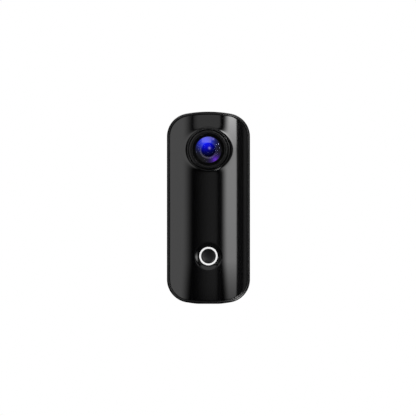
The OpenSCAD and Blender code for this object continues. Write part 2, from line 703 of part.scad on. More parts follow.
// The card has one clipped corner and a raised grip along its outer end
module memory_card() color("#111114") {
    x0 = card_x1 - card_len;
    translate([0, card_y + card_t / 2, card_z]) rotate([90, 0, 0]) linear_extrude(card_t) polygon([
        [x0, -card_w / 2], [card_x1, -card_w / 2], [card_x1, card_w / 2],
        [x0 + 2.2, card_w / 2], [x0, card_w / 2 - 2.2]]);
    block([card_x1 - 0.25, card_y - card_t / 2 - 0.15, card_z - 4],
          [card_x1, card_y - card_t / 2 + eps, card_z + 4]);
}

// ---------- power ----------

battery_half_w = in_half_w - 1.6;
battery_z0 = magnet_low_z + ring_r + tray_t + 2 * gap;
battery_z1 = board_z1 - 0.5;
module battery() color("#9fb0c4") difference() {
    along_y(battery_front_y, battery_back_y) translate([0, (battery_z0 + battery_z1) / 2])
        rounded_rect(2 * battery_half_w, battery_z1 - battery_z0, 1);
    block([-2, battery_front_y + 1, battery_z0 - 1], [2, battery_back_y - 1, battery_z0 + 0.6]);
}

lead_r = 0.4;
lead_y = (battery_front_y + battery_back_y) / 2;
lead_z = board_z0 - 0.4;
plug_y = board_y - 0.8;
module battery_tray() color("#3c3c40") difference() {
    block([-battery_half_w - gap - tray_t, tray_front_y, battery_z0 - gap - tray_t],
          [battery_half_w + gap + tray_t, battery_back_y - 0.4, battery_z1 + gap + tray_t]);
    block([-battery_half_w - gap, tray_front_y + tray_t, battery_z0 - gap],
          [battery_half_w + gap, battery_back_y + 1, battery_z1 + gap]);
    block([-1.5, lead_y - 0.7, battery_z0 - 2], [1.5, lead_y + 0.7, battery_z0]);
    for (p = board_screws_at) rod_y(1.2, tray_front_y - 1, tray_front_y + tray_t / 2, p[0], p[1]);
}

module battery_foam() color("#56565c") along_y(battery_back_y + 0.02, back_in_y - 0.02)
    translate([0, (battery_z0 + battery_z1) / 2]) rounded_rect(16, 18, 1);

// Down from the battery, round under the edge of the board, and up into the plug
module lead(x) translate([x, 0, lead_z]) {
    bend_r = (lead_y - plug_y) / 2;
    translate([0, lead_y, 0]) cylinder(r = lead_r, h = battery_z0 + 0.6 - lead_z);
    translate([0, plug_y, 0]) cylinder(r = lead_r, h = board_z0 + 0.2 - lead_z);
    translate([0, plug_y + bend_r, 0]) rotate([-90, 0, 90]) rotate_extrude(angle = 180)
        translate([bend_r, 0]) circle(lead_r);
}
module battery_leads() {
    color("#b02020") lead(-0.7);
    color("#202024") lead(0.7);
}

module battery_plug() color("#e6e2d4") on_board([-2, board_z0 + 0.2], [2, board_z0 + 2.6], 1.6);

// ---------- sound, radio and magnets ----------

module speaker() color("#2a2a2e") along_x(-in_half_w + 0.35, board_x0 - 0.4)
    translate([speaker_y, (speaker_z0 + speaker_z1) / 2])
        rounded_rect(speaker_y1 - speaker_y0, speaker_z1 - speaker_z0, 0.7);

module speaker_mesh() color("#707076") along_x(-in_half_w + 0.15, -in_half_w + 0.25)
    translate([speaker_y, (speaker_z0 + speaker_z1) / 2])
        rounded_rect(speaker_y1 - speaker_y0 - 0.4, speaker_z1 - speaker_z0 - 2, 0.6);

mic_top_z = body_h - wall - 0.15;
module microphone() color("#c9c9cc") translate([0, mic_y, mic_top_z - 2]) cylinder(r = 2, h = 1.4);
module microphone_boot() color("#3a3a3e") translate([0, mic_y, 0]) difference() {
    translate([0, 0, mic_top_z - 1.6]) cylinder(r = 2.5, h = 1.6);
    translate([0, 0, mic_top_z - 3]) cylinder(r = 2 + slip, h = 2.45);
    translate([0, 0, mic_top_z - 3]) cylinder(r = 0.5, h = 4);
}

module radio_antenna() color("#c07a28")
    block([-in_half_w + 0.1, 1, lens_z - 4], [-in_half_w + 0.3, 5, lens_z + 3]);

module holding_magnets() color("#c4c6ca") for (z = magnet_zs)
    rod_y(magnet_r, back_in_y - magnet_t, back_in_y - 0.02, 0, z);

module magnet_yokes() color("#8c8e92") for (z = magnet_zs)
    rod_y(magnet_r, back_in_y - magnet_t - yoke_t, back_in_y - magnet_t - 0.02, 0, z);

// ---------- nodes ----------

front_cover();
rear_housing();
housing_gasket();
back_pad();
housing_screws();
lens_bezel();
lens_seal();
lens_barrel();
front_element();
second_element();
third_element();
rear_element();
element_spacers();
lens_holder();
lens_holder_screws();
ir_filter();
image_sensor();
sensor_board();
sensor_screws();
sensor_flex();
button_cap();
light_ring();
button_seal();
button_board();
button_board_screws();
ring_lights();
shutter_switch();
shutter_switch_stem();
button_flex();
mode_key();
mode_switch();
mode_switch_stem();
port_door();
door_seal();
door_hinge_pin();
main_board();
main_board_screws();
processor();
heat_pad();
heat_spreader();
memory_chip();
radio_shield();
board_parts();
usb_receptacle();
usb_tongue();
card_socket();
memory_card();
battery();
battery_tray();
battery_foam();
battery_leads();
battery_plug();
speaker();
speaker_mesh();
microphone();
microphone_boot();
radio_antenna();
holding_magnets();
magnet_yokes();
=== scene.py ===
"""The looks of a thumb-size action camera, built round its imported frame.

Lengths are in millimetres until a mesh is made. +Z is up, the lens looks along -Y, and the port door is on +X.
The shells, the glass and the controls are smooth surfaces worked out on grids. The parts inside keep their
shapes and get their finishes here.
"""

from __future__ import annotations

import json
import logging
import math
from dataclasses import dataclass
from enum import Enum

import bmesh
import bpy
import numpy as np
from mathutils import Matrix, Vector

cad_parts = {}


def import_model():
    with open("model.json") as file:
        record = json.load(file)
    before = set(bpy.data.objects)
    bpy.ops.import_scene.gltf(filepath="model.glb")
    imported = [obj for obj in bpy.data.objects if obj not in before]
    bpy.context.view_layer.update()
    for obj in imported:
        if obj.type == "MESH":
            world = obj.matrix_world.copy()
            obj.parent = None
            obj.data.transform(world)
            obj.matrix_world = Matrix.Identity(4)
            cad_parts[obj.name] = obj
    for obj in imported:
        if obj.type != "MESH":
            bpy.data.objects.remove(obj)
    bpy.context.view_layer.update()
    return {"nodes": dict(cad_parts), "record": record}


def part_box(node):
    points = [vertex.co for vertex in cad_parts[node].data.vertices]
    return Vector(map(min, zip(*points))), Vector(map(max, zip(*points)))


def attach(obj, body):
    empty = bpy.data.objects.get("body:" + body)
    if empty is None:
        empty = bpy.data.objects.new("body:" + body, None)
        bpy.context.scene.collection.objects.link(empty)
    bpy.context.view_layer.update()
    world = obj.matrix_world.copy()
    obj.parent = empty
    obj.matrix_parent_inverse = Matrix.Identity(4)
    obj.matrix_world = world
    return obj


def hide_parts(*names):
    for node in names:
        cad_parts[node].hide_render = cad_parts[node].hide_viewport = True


LOG = logging.getLogger("camera")
MM = 0.001
ROOT = "camera"
SHARP_DEGREES = 35.0
BEZEL_PROUD = 2.6
DOOR_T = 0.9
KEY_SIZE = (2.3, 6.4)
Array = np.ndarray
Colour = tuple[float, float, float]
Values = dict[str, float | tuple[float, ...]]


# ---------------------------------------------------------------- curves and surfaces


class Operation(Enum):
    """What is done with a second solid."""

    JOIN = "UNION"
    CUT = "DIFFERENCE"


class Plane(Enum):
    """The plane that an outline lies in; its depth runs along the axis left over."""

    XZ = (0, 2, 1)
    YZ = (1, 2, 0)


def smooth_step(value: Array) -> Array:
    """Eases from 0 to 1: three times the square less twice the cube, held at its ends."""
    t = np.clip(value, 0.0, 1.0)
    return t * t * (3.0 - 2.0 * t)


def rounded_path(
    corners: list[tuple[float, float]], radius: float, steps: int = 5, closed: bool = True
) -> Array:
    """Rounds the corners of a polyline. Each corner becomes a parabola that touches both of its sides.

    Args:
        corners: the polyline's corners.
        radius: how far along each side the rounding starts, held to 0.45 of the side.
        steps: points on each rounded corner.
        closed: whether the last corner joins the first; if not, both ends stay sharp.

    Returns:
        The points of the rounded path, (N, 2).
    """
    p = np.array(corners, float)
    before, after = np.roll(p, 1, axis=0) - p, np.roll(p, -1, axis=0) - p
    reach = [np.linalg.norm(side, axis=1, keepdims=True) for side in (before, after)]
    starts = [
        p + side * np.minimum(radius / np.maximum(r, 1e-9), 0.45) for side, r in zip((before, after), reach)
    ]
    t = np.linspace(0.0, 1.0, steps)[None, :, None]
    first, middle, last = starts[0][:, None], p[:, None], starts[1][:, None]
    arcs = (1 - t) ** 2 * first + 2 * t * (1 - t) * middle + t**2 * last
    if closed:
        return arcs.reshape(-1, 2)
    return np.vstack([p[:1], arcs[1:-1].reshape(-1, 2), p[-1:]])


@dataclass(frozen=True)
class Outline:
    """A closed plane curve with its outward unit normals, both (K, 2)."""

    points: Array
    normals: Array

    @staticmethod
    def rounded_rect(
        centre: tuple[float, float], size: tuple[float, float], radius: float, steps: int = 12
    ) -> Outline:
        """A rectangle whose corners are quarter circles.

        Args:
            centre: its middle.
            size: width and height.
            radius: radius of the corners.
            steps: points on each corner.

        Returns:
            The outline, counter-clockwise.
        """
        angle = np.linspace(0, math.pi / 2, steps)[None, :] + np.arange(4)[:, None] * math.pi / 2
        sign = np.array([(1, 1), (-1, 1), (-1, -1), (1, -1)], float)
        middle = np.array(centre) + sign * (np.array(size) / 2 - radius)
        normals = np.stack([np.cos(angle), np.sin(angle)], axis=-1)
        points = middle[:, None] + radius * normals
        return Outline(points.reshape(-1, 2), normals.reshape(-1, 2))

    def carry(self, profile: Array, plane: Plane = Plane.XZ) -> Array:
        """Carries a profile round the outline: each point moves inwards by the inset and to the depth.

        Args:
            profile: (S, 2) rows of inset and depth.
            plane: the plane that the outline lies in.

        Returns:
            Points (S, K, 3).
        """
        flat = self.points[None] - profile[:, :1, None] * self.normals[None]
        grid = np.empty(flat.shape[:2] + (3,))
        first, second, depth = plane.value
        grid[..., first], grid[..., second] = flat[..., 0], flat[..., 1]
        grid[..., depth] = profile[:, 1:2]
        return grid


def revolve(profile: Array, axis_z: float, segments: int = 128) -> Array:
    """Turns a profile about the line along Y at x = 0.

    Args:
        profile: (S, 2) rows of radius and y.
        axis_z: height of the line.
        segments: steps round the line.

    Returns:
        Points (S, segments, 3): the line plus the radius times cosine and sine of the angle.
    """
    angle = np.arange(segments) * 2 * math.pi / segments
    radius, y = profile[:, :1], profile[:, 1:2]
    return np.stack([radius * np.cos(angle), y + 0 * angle, axis_z + radius * np.sin(angle)], axis=-1)


class Patchwork:
    """Grids of points that are welded into one closed mesh."""

    def __init__(self) -> None:
        """Starts with no points and no faces."""
        self.points: list[Array] = []
        self.faces: list[list[int]] = []
        self.count = 0

    def add(self, grid: Array, round_columns: bool = True, round_rows: bool = False) -> Patchwork:
        """Adds a grid's points and the quads between them.

        Args:
            grid: points (S, K, 3).
            round_columns: whether the last column joins the first.
            round_rows: whether the last row joins the first.

        Returns:
            The patchwork itself.
        """
        rows, columns = grid.shape[:2]
        index = self.count + np.arange(rows * columns).reshape(rows, columns)
        if round_columns:
            index = np.hstack([index, index[:, :1]])
        if round_rows:
            index = np.vstack([index, index[:1]])
        quads = np.stack([index[:-1, :-1], index[:-1, 1:], index[1:, 1:], index[1:, :-1]], axis=-1)
        self.faces += quads.reshape(-1, 4).tolist()
        self.points.append(grid.reshape(-1, 3))
        self.count += rows * columns
        return self

    def cap(self, ring: Array) -> Patchwork:
        """Adds one flat face across a ring of points.

        Args:
            ring: points (K, 3).

        Returns:
            The patchwork itself.
        """
        self.faces.append(list(range(self.count, self.count + len(ring))))
        self.points.append(ring)
        self.count += len(ring)
        return self

    def build(self, name: str) -> bpy.types.Object:
        """Welds the patches, turns the faces outwards and makes the object.

        Args:
            name: the object's name.

        Returns:
            The object, at the origin, in metres.
        """
        mesh = bpy.data.meshes.new(name)
        mesh.from_pydata((np.vstack(self.points) * MM).tolist(), [], self.faces)
        work = bmesh.new()
        work.from_mesh(mesh)
        bmesh.ops.remove_doubles(work, verts=work.verts, dist=2e-7)
        bmesh.ops.recalc_face_normals(work, faces=work.faces)
        work.to_mesh(mesh)
        work.free()
        thing = bpy.data.objects.new(name, mesh)
        bpy.context.scene.collection.objects.link(thing)
        shade(thing)
        return thing


def shade(thing: bpy.types.Object) -> None:
    """Shades an object smooth, with edges that bend over SHARP_DEGREES kept sharp."""
    thing.data.shade_smooth()
    thing.data.set_sharp_from_angle(angle=math.radians(SHARP_DEGREES))


def solid(name: str, grid: Array) -> bpy.types.Object:
    """A carried profile with a flat face across its first and last ring."""
    return Patchwork().add(grid).cap(grid[0]).cap(grid[-1]).build(name)


def ring(name: str, grid: Array) -> bpy.types.Object:
    """A closed profile carried all the way round, as a torus is."""
    return Patchwork().add(grid, round_rows=True).build(name)


def turned(name: str, profile: Array, axis_z: float, segments: int = 128) -> bpy.types.Object:
    """A profile that starts and ends on the line that it is turned about."""
    return Patchwork().add(revolve(profile, axis_z, segments)).build(name)


def combine(thing: bpy.types.Object, other: bpy.types.Object, operation: Operation) -> None:
    """Joins another solid to an object or cuts it away, and removes the other one.

    Args:
        thing: the object that is changed.
        other: the solid that is joined or cut away.
        operation: which of the two.
    """
    modifier = thing.modifiers.new(operation.name, "BOOLEAN")
    modifier.operation, modifier.solver, modifier.object = operation.value, "EXACT", other
    evaluated = thing.evaluated_get(bpy.context.evaluated_depsgraph_get())
    mesh = bpy.data.meshes.new_from_object(evaluated)
    thing.modifiers.clear()
    thing.data = mesh
    bpy.data.objects.remove(other)
    shade(thing)


def side_prism(outline: Outline, start: float, end: float) -> bpy.types.Object:
    """A straight solid along X, between two places, whose section is an outline in the YZ plane."""
    return solid("cutter", outline.carry(np.array([(0, start), (0, end)]), Plane.YZ))


def box_solid(low: tuple[float, float, float], high: tuple[float, float, float]) -> bpy.types.Object:
    """A plain box that other solids are joined with or cut by.

    Args:
        low: its low corner.
        high: its high corner.

    Returns:
        The box, whose edges along X are rounded by a fiftieth of its narrower side.
    """
    size = (high[1] - low[1], high[2] - low[2])
    middle = ((high[1] + low[1]) / 2, (high[2] + low[2]) / 2)
    return side_prism(Outline.rounded_rect(middle, size, min(size) * 0.02, 2), low[0], high[0])


def rod_solid(
    axis: int, centre: tuple[float, float], radius: float, span: tuple[float, float], steps: int = 48
) -> bpy.types.Object:
    """A round rod that other solids are joined with or cut by.

    Args:
        axis: 0, 1 or 2, the axis that it lies along.
        centre: its place on the other two axes, in their order.
        radius: its radius.
        span: where it starts and ends.
        steps: points round it.

    Returns:
        The rod, closed at both ends.
    """
    angle = np.arange(steps) * 2 * math.pi / steps
    across = [i for i in range(3) if i != axis]
    grid = np.empty((2, steps, 3))
    grid[..., across[0]] = centre[0] + radius * np.cos(angle)
    grid[..., across[1]] = centre[1] + radius * np.sin(angle)
    grid[..., axis] = np.array(span)[:, None]
    return solid("cutter", grid)


@dataclass(frozen=True)
class Extent:
    """A node's lowest and highest corners at rest, in millimetres."""

    low: tuple[float, float, float]
    high: tuple[float, float, float]

    def middle(self, axis: int) -> float:
        """Half way between the corners along an axis."""
        return (self.low[axis] + self.high[axis]) / 2

    def size(self, axis: int) -> float:
        """The distance between the corners along an axis."""
        return self.high[axis] - self.low[axis]


def measured(node: str) -> Extent:
    """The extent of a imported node."""
    low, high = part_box(node)
    return Extent(tuple(c / MM for c in low), tuple(c / MM for c in high))


# ---------------------------------------------------------------- finishes


class Pattern(Enum):
    """What the fine surface of a finish looks like."""

    GRAIN = "fine moulded grain"
    POLISHED = "polished, with a faint ripple"
    BRUSHED = "fine lines one way"
    DIMPLES = "small round dimples"
    TRACES = "fine copper tracks under a mask"
    WEAVE = "crossed wires"


def fill(node: bpy.types.Node, values: Values) -> None:
    """Sets a node's own sockets by their names."""
    for socket, value in values.items():
        node.inputs[socket].default_value = value


class Mixture:
    """A material that is being built: its nodes, its links and its shader."""

    def __init__(self, name: str, values: Values) -> None:
        """Starts a material.

        Args:
            name: its name.
            values: what is set on its shader's own sockets.
        """
        self.material = bpy.data.materials.new(name)
        self.material.use_nodes = True
        self.nodes, self.links = self.material.node_tree.nodes, self.material.node_tree.links
        self.shader = self.nodes["Principled BSDF"]
        fill(self.shader, values)

    def add(self, kind: str, values: Values | None = None) -> bpy.types.Node:
        """Adds a node of a kind.

        Args:
            kind: Blender's name for it.
            values: what is set on its own sockets.

        Returns:
            The node.
        """
        node = self.nodes.new(kind)
        fill(node, values or {})
        return node

    def join(self, start: bpy.types.NodeSocket, node: bpy.types.Node, socket: str | int) -> None:
        """Links a socket to one of a node's inputs."""
        self.links.new(start, node.inputs[socket])


@dataclass(frozen=True)
class Finish:
    """One material: its colour, its gloss, and its pattern at true size.

    Sizes are in millimetres. Colours are linear.
    """

    name: str
    colour: Colour
    second: Colour
    roughness: float = 0.5
    metallic: float = 0.0
    coat: float = 0.0
    specular: float = 0.5
    pattern: Pattern = Pattern.GRAIN
    grain_mm: float = 0.12
    relief_mm: float = 0.01

    def material(self) -> bpy.types.Material:
        """Builds the material: colour drifts between two tones, and the pattern drives the bump.

        Roughness drifts with the colour, by 12 in a hundred either way.

        Returns:
            The material.
        """
        values = {"Metallic": self.metallic, "Coat Weight": self.coat, "Coat Roughness": 0.04}
        mix = Mixture(self.name, {**values, "Specular IOR Level": self.specular})
        where = mix.add("ShaderNodeTexCoord").outputs["Object"]
        detail = self.relief(mix, where)
        drift = mix.add("ShaderNodeTexNoise", {"Scale": 160.0, "Detail": 4.0})
        mix.join(where, drift, "Vector")
        blend = mix.add("ShaderNodeMix")
        blend.data_type = "RGBA"
        fill(blend, {"A": (*self.colour, 1), "B": (*self.second, 1)})
        mix.join(detail if self.pattern is Pattern.TRACES else drift.outputs["Fac"], blend, "Factor")
        mix.join(blend.outputs["Result"], mix.shader, "Base Color")
        worn = mix.add(
            "ShaderNodeMapRange", {"To Min": self.roughness * 0.88, "To Max": min(1.0, self.roughness * 1.12)}
        )
        mix.join(drift.outputs["Fac"], worn, "Value")
        mix.join(worn.outputs["Result"], mix.shader, "Roughness")
        bump = mix.add("ShaderNodeBump", {"Distance": self.relief_mm * MM, "Strength": 1.0})
        mix.join(detail, bump, "Height")
        mix.join(bump.outputs["Normal"], mix.shader, "Normal")
        return mix.material

    def relief(self, mix: Mixture, where: bpy.types.NodeSocket) -> bpy.types.NodeSocket:
        """The pattern's height, from 0 to 1.

        Args:
            mix: the material that is being built.
            where: Object coordinates, in metres.

        Returns:
            The socket that gives the height.
        """
        scale = 1.0 / (self.grain_mm * MM)
        if self.pattern is Pattern.DIMPLES:
            cells = mix.add("ShaderNodeTexVoronoi")
            cells.feature = "SMOOTH_F1"
            fill(cells, {"Scale": scale, "Randomness": 0.25})
            mix.join(where, cells, "Vector")
            return cells.outputs["Distance"]
        if self.pattern is Pattern.TRACES:
            turn = mix.add("ShaderNodeMapping", {"Rotation": (math.pi / 2, 0, 0)})
            tracks = mix.add("ShaderNodeTexBrick", {"Scale": scale, "Mortar Size": 0.06, "Brick Width": 2.6})
            mix.join(where, turn, "Vector")
            mix.join(turn.outputs["Vector"], tracks, "Vector")
            return tracks.outputs["Fac"]
        if self.pattern is Pattern.WEAVE:
            both = mix.add("ShaderNodeMath")
            both.operation = "MAXIMUM"
            for socket, direction in enumerate(("Y", "Z")):
                wave = mix.add("ShaderNodeTexWave", {"Scale": scale})
                wave.bands_direction = direction
                mix.join(where, wave, "Vector")
                mix.join(wave.outputs["Fac"], both, socket)
            return both.outputs["Value"]
        stretch = (1, 1, 0.04) if self.pattern is Pattern.BRUSHED else (1, 1, 1)
        mapping = mix.add("ShaderNodeMapping", {"Scale": stretch})
        detail = 1.0 if self.pattern is Pattern.POLISHED else 3.0
        noise = mix.add("ShaderNodeTexNoise", {"Scale": scale, "Detail": detail})
        mix.join(where, mapping, "Vector")
        mix.join(mapping.outputs["Vector"], noise, "Vector")
        return noise.outputs["Fac"]


@dataclass(frozen=True)
class Glass:
    """Coated optical glass: clear, with reflections in the coating's colour."""

    name: str
    tint: Colour
    body: Colour = (1.0, 1.0, 1.0)
    specular: float = 1.0

    def material(self) -> bpy.types.Material:
        """Builds the material: light passes through, and the coating colours what it reflects.

        Returns:
            The material.
        """
        values = {"Base Color": (*self.body, 1), "Roughness": 0.0, "Transmission Weight": 1.0, "IOR": 1.5}
        coating = {"Specular IOR Level": self.specular, "Specular Tint": (*self.tint, 1)}
        return Mixture(self.name, {**values, **coating}).material


@dataclass(frozen=True)
class Spot:
    """A soft round patch of colour, used for the lens's painted reflections and painted highlights: its colour
    times exp(-(distance / size) to a power).

    The place and size are in millimetres from the lens axis.
    """

    place: tuple[float, float]
    size: float
    power: float
    colour: Colour

    def over(self, x: Array, z: Array) -> Array:
        """The patch's colour at each point, with one more axis than x and z."""
        away = np.hypot(x - self.place[0], z - self.place[1])
        return np.exp(-((away / self.size) ** self.power))[..., None] * np.array(self.colour)


@dataclass(frozen=True)
class PaintedLensReflections:
    """The coated lens face, painted with light: a painted blue reflection above, a painted violet reflection low
    on one side, a painted grey ring reflection round a pupil where the blue fades to black, painted glints and a
    painted window reflection.

    Radii are in millimetres from the lens axis.
    """

    name: str = "lens_painted_reflections"
    pupil_r: float = 2.2
    pupil_soft: float = 0.2
    pupil_dimming: Colour = (0.9, 0.9, 0.0)
    # a painted grey ring reflection round the pupil, brighter low on the left
    ring_r: float = 2.55
    ring_w: float = 0.2
    ring_reflection_level: tuple[float, float] = (0.012, 0.06)
    ring_degrees: float = 250.0
    ring_reflection_colour: Colour = (1.0, 0.95, 1.35)
    # two faint painted ring reflections inside the pupil
    inner_r: tuple[float, float] = (0.75, 1.4)
    inner_w: float = 0.12
    inner_level: float = 0.006
    inner_colour: Colour = (0.5, 0.5, 4.0)
    # the painted colour grows darker towards the face's edge
    edge_r: float = 4.2
    edge_start: float = 0.2
    edge_soft: float = 0.35
    edge_dimming: float = 0.8
    # base: faint even painted light outside the pupil; strength: how brightly all the painted light is given out
    base: float = 0.011
    strength: float = 0.93
    # painted reflections of the panels: blue above, violet low on the right
    blue: Spot = Spot((-0.9, 2.6), 2.35, 2.4, (0.025, 0.05, 0.95))
    violet: Spot = Spot((2.15, -3.05), 0.85, 1.2, (0.13, 0.02, 0.62))
    # painted highlights
    glints: tuple[Spot, ...] = (
        Spot((0.33, 0.55), 0.36, 2.0, (0.2, 0.17, 0.3)),
        Spot((1.5, 3.4), 0.3, 2.0, (0.2, 0.17, 0.3)),
    )
    # the window patch is a painted reflection of the window panel
    window: tuple[float, float, float] = (-2.2, 0.8, 2.1)
    window_lean: float = 0.25
    window_soft: tuple[float, float] = (0.15, 0.4)
    reflected_window_colour: Colour = (0.1, 0.085, 0.0)

    def field(self, x: Array, z: Array) -> Array:
        """The painted reflections' and painted highlights' colour at each point.

        The painted ring reflection is a Gaussian in radius that is strongest low on the left, and two fainter
        painted rings stand in the pupil. The painted window reflection, given by its left, right and low side,
        is a smooth step at each of the three.

        Args:
            x: distance to the right of the axis.
            z: height above the axis.

        Returns:
            Linear colour with one more axis than x and z.
        """
        radius, angle = np.hypot(x, z), np.arctan2(z, x)
        outside = smooth_step((radius - self.pupil_r + self.pupil_soft / 2) / self.pupil_soft)
        purer = 1 - (1 - outside[..., None]) * np.array(self.pupil_dimming)
        # painted blue reflection, purer blue inside the pupil, and painted violet reflection outside it
        colour = self.blue.over(x, z) * purer + self.violet.over(x, z) * outside[..., None]
        # painted highlights
        for glint in self.glints:
            colour = colour + glint.over(x, z)
        # painted grey ring reflection, strongest low on the left, and the faint painted rings in the pupil
        even, leaning = self.ring_reflection_level
        level = even + leaning * np.maximum(0.0, np.cos(angle - math.radians(self.ring_degrees)))
        painted_ring_reflection = level * np.exp(-(((radius - self.ring_r) / self.ring_w) ** 2))
        near, far = (np.exp(-(((radius - r) / self.inner_w) ** 2)) for r in self.inner_r)
        inner = self.inner_level * (near + far)
        colour = colour + painted_ring_reflection[..., None] * np.array(self.ring_reflection_colour)
        colour = colour + inner[..., None] * np.array(self.inner_colour)
        # painted reflection of the window panel, plus faint even painted light outside the pupil
        left, right, low = self.window
        side_soft, low_soft = self.window_soft
        painted_window_reflection = smooth_step((x - left) / side_soft)
        painted_window_reflection = painted_window_reflection * smooth_step((right + self.window_lean * (z - low) - x) / side_soft)
        painted_window_reflection = painted_window_reflection * smooth_step((z - low) / low_soft) * outside
        colour = colour + painted_window_reflection[..., None] * np.array(self.reflected_window_colour) + (outside * self.base)[..., None]
        # darker towards the face's edge
        beyond = smooth_step((radius - self.edge_r + self.edge_start) / self.edge_soft)
        return colour * (1 - self.edge_dimming * beyond)[..., None]

    def material(self) -> bpy.types.Material:
        """Builds the material: near black, with the coating attribute's painted reflections and painted
        highlights given out as emitted light.

        Returns:
            The material.
        """
        values = {"Roughness": 0.6, "Specular IOR Level": 0.0, "Base Color": (0.002, 0.002, 0.0025, 1)}
        mix = Mixture(self.name, {**values, "Emission Strength": self.strength})
        coating = mix.add("ShaderNodeAttribute")
        coating.attribute_name = "coating"
        # the painted reflections and painted highlights are emitted as light
        mix.join(coating.outputs["Color"], mix.shader, "Emission Color")
        return mix.material


@dataclass(frozen=True)
class Glow:
    """A milky light guide that shines evenly: a satin white plastic with light of its own."""

    name: str
    strength: float = 0.66

    def material(self) -> bpy.types.Material:
        """Builds the material."""
        values = {"Base Color": (0.3, 0.3, 0.3, 1), "Roughness": 0.35, "Emission Color": (1, 1, 1, 1)}
        return Mixture(self.name, {**values, "Emission Strength": self.strength}).material


def brushed(
    name: str, colour: Colour, second: Colour, roughness: float, relief_mm: float = 0.004
) -> Finish:
    """A bare metal with fine lines one way."""
    return Finish(name, colour, second, roughness, 1.0, pattern=Pattern.BRUSHED, relief_mm=relief_mm)


def plain(name: str, colour: Colour, second: Colour, roughness: float, relief_mm: float = 0.01) -> Finish:
    """A moulded surface with the usual grain and no coat."""
    return Finish(name, colour, second, roughness, relief_mm=relief_mm)


FINISHES: dict[str, Finish | Glass | Glow] = {
    finish.name: finish
    for finish in (
        Finish(
            "gloss_cover", (0.0022, 0.0022, 0.0025), (0.0032, 0.0032, 0.0036), 0.07,
            pattern=Pattern.POLISHED, grain_mm=6.0, relief_mm=0.0015,
        ),
        Finish(
            "satin_housing", (0.005, 0.005, 0.0055), (0.0075, 0.0075, 0.008), 0.22,
            specular=0.32, relief_mm=0.002,
        ),
        Finish(
            "pad_rubber", (0.014, 0.014, 0.015), (0.02, 0.02, 0.022), 0.62,
            pattern=Pattern.DIMPLES, grain_mm=0.7, relief_mm=0.06,
        ),
        Finish(
            "bezel_black", (0.004, 0.004, 0.0045), (0.006, 0.006, 0.0065), 0.26,
            specular=0.25, relief_mm=0.001,
        ),
        Finish("barrel_black", (0.002, 0.002, 0.002), (0.003, 0.003, 0.003), 0.85, specular=0.06),
        Finish(
            "button_black", (0.006, 0.006, 0.0065), (0.009, 0.009, 0.0095), 0.34,
            specular=0.28, relief_mm=0.003,
        ),
        Glow("light_white"),
        Glass("front_glass", (0.03, 0.033, 0.06), specular=0.06),
        Glass("inner_glass", (0.4, 0.2, 1.0)),
        Glass("filter_glass", (0.9, 0.3, 0.4), (0.6, 0.95, 0.85)),
        Finish("sensor_dark", (0.01, 0.02, 0.05), (0.03, 0.02, 0.06), 0.12, coat=1.0),
        Finish(
            "board_green", (0.012, 0.09, 0.045), (0.03, 0.2, 0.09), 0.38,
            coat=0.4, pattern=Pattern.TRACES, grain_mm=0.5, relief_mm=0.02,
        ),
        Finish("flex_amber", (0.45, 0.19, 0.03), (0.55, 0.26, 0.05), 0.3, coat=0.5, relief_mm=0.003),
        Finish(
            "battery_wrap", (0.3, 0.38, 0.5), (0.38, 0.45, 0.56), 0.25,
            coat=0.6, grain_mm=1.5, relief_mm=0.02,
        ),
        Finish(
            "foam_grey", (0.06, 0.06, 0.065), (0.1, 0.1, 0.11), 0.95,
            pattern=Pattern.DIMPLES, grain_mm=0.3, relief_mm=0.1,
        ),
        Finish(
            "mesh_metal", (0.2, 0.2, 0.21), (0.32, 0.32, 0.34), 0.4, 1.0,
            pattern=Pattern.WEAVE, grain_mm=0.6, relief_mm=0.05,
        ),
        Finish("magnet_nickel", (0.66, 0.64, 0.6), (0.72, 0.7, 0.66), 0.14, 1.0, relief_mm=0.002),
        brushed("screw_steel", (0.5, 0.5, 0.52), (0.6, 0.6, 0.62), 0.28, 0.003),
        brushed("switch_metal", (0.55, 0.55, 0.57), (0.65, 0.65, 0.67), 0.32),
        brushed("spreader_copper", (0.75, 0.36, 0.22), (0.6, 0.27, 0.16), 0.3),
        brushed("shield_metal", (0.6, 0.6, 0.62), (0.7, 0.7, 0.72), 0.26),
        brushed("mic_metal", (0.7, 0.7, 0.72), (0.76, 0.76, 0.78), 0.3, 0.003),
        brushed("yoke_steel", (0.4, 0.41, 0.43), (0.5, 0.51, 0.53), 0.34),
        plain("seal_rubber", (0.03, 0.03, 0.033), (0.045, 0.045, 0.05), 0.75),
        plain("inner_plastic", (0.015, 0.015, 0.016), (0.022, 0.022, 0.024), 0.55),
        plain("chip_dark", (0.012, 0.012, 0.013), (0.02, 0.02, 0.021), 0.48, 0.006),
        plain("heat_pad", (0.3, 0.36, 0.44), (0.36, 0.42, 0.5), 0.8),
        plain("parts_tan", (0.42, 0.31, 0.16), (0.55, 0.45, 0.3), 0.45),
        plain("card_black", (0.01, 0.01, 0.011), (0.014, 0.014, 0.015), 0.42, 0.005),
        plain("tray_plastic", (0.03, 0.03, 0.033), (0.045, 0.045, 0.048), 0.55),
        plain("lead_red", (0.45, 0.01, 0.01), (0.55, 0.02, 0.02), 0.4),
        plain("plug_cream", (0.7, 0.66, 0.52), (0.76, 0.73, 0.6), 0.5),
    )
}


class Paint:
    """Builds each finish once and puts it on objects."""

    def __init__(self) -> None:
        """Starts with no materials built."""
        self.built: dict[str, bpy.types.Material] = {}

    def of(self, slot: str) -> bpy.types.Material:
        """The material of a slot, built the first time it is asked for.

        Args:
            slot: the record's material slot.

        Returns:
            The material.
        """
        if slot not in self.built:
            self.built[slot] = FINISHES[slot].material()
        return self.built[slot]

    def dress(self, thing: bpy.types.Object, slot: str) -> None:
        """Puts a slot's material on the whole of an object."""
        thing.data.materials.clear()
        thing.data.materials.append(self.of(slot))


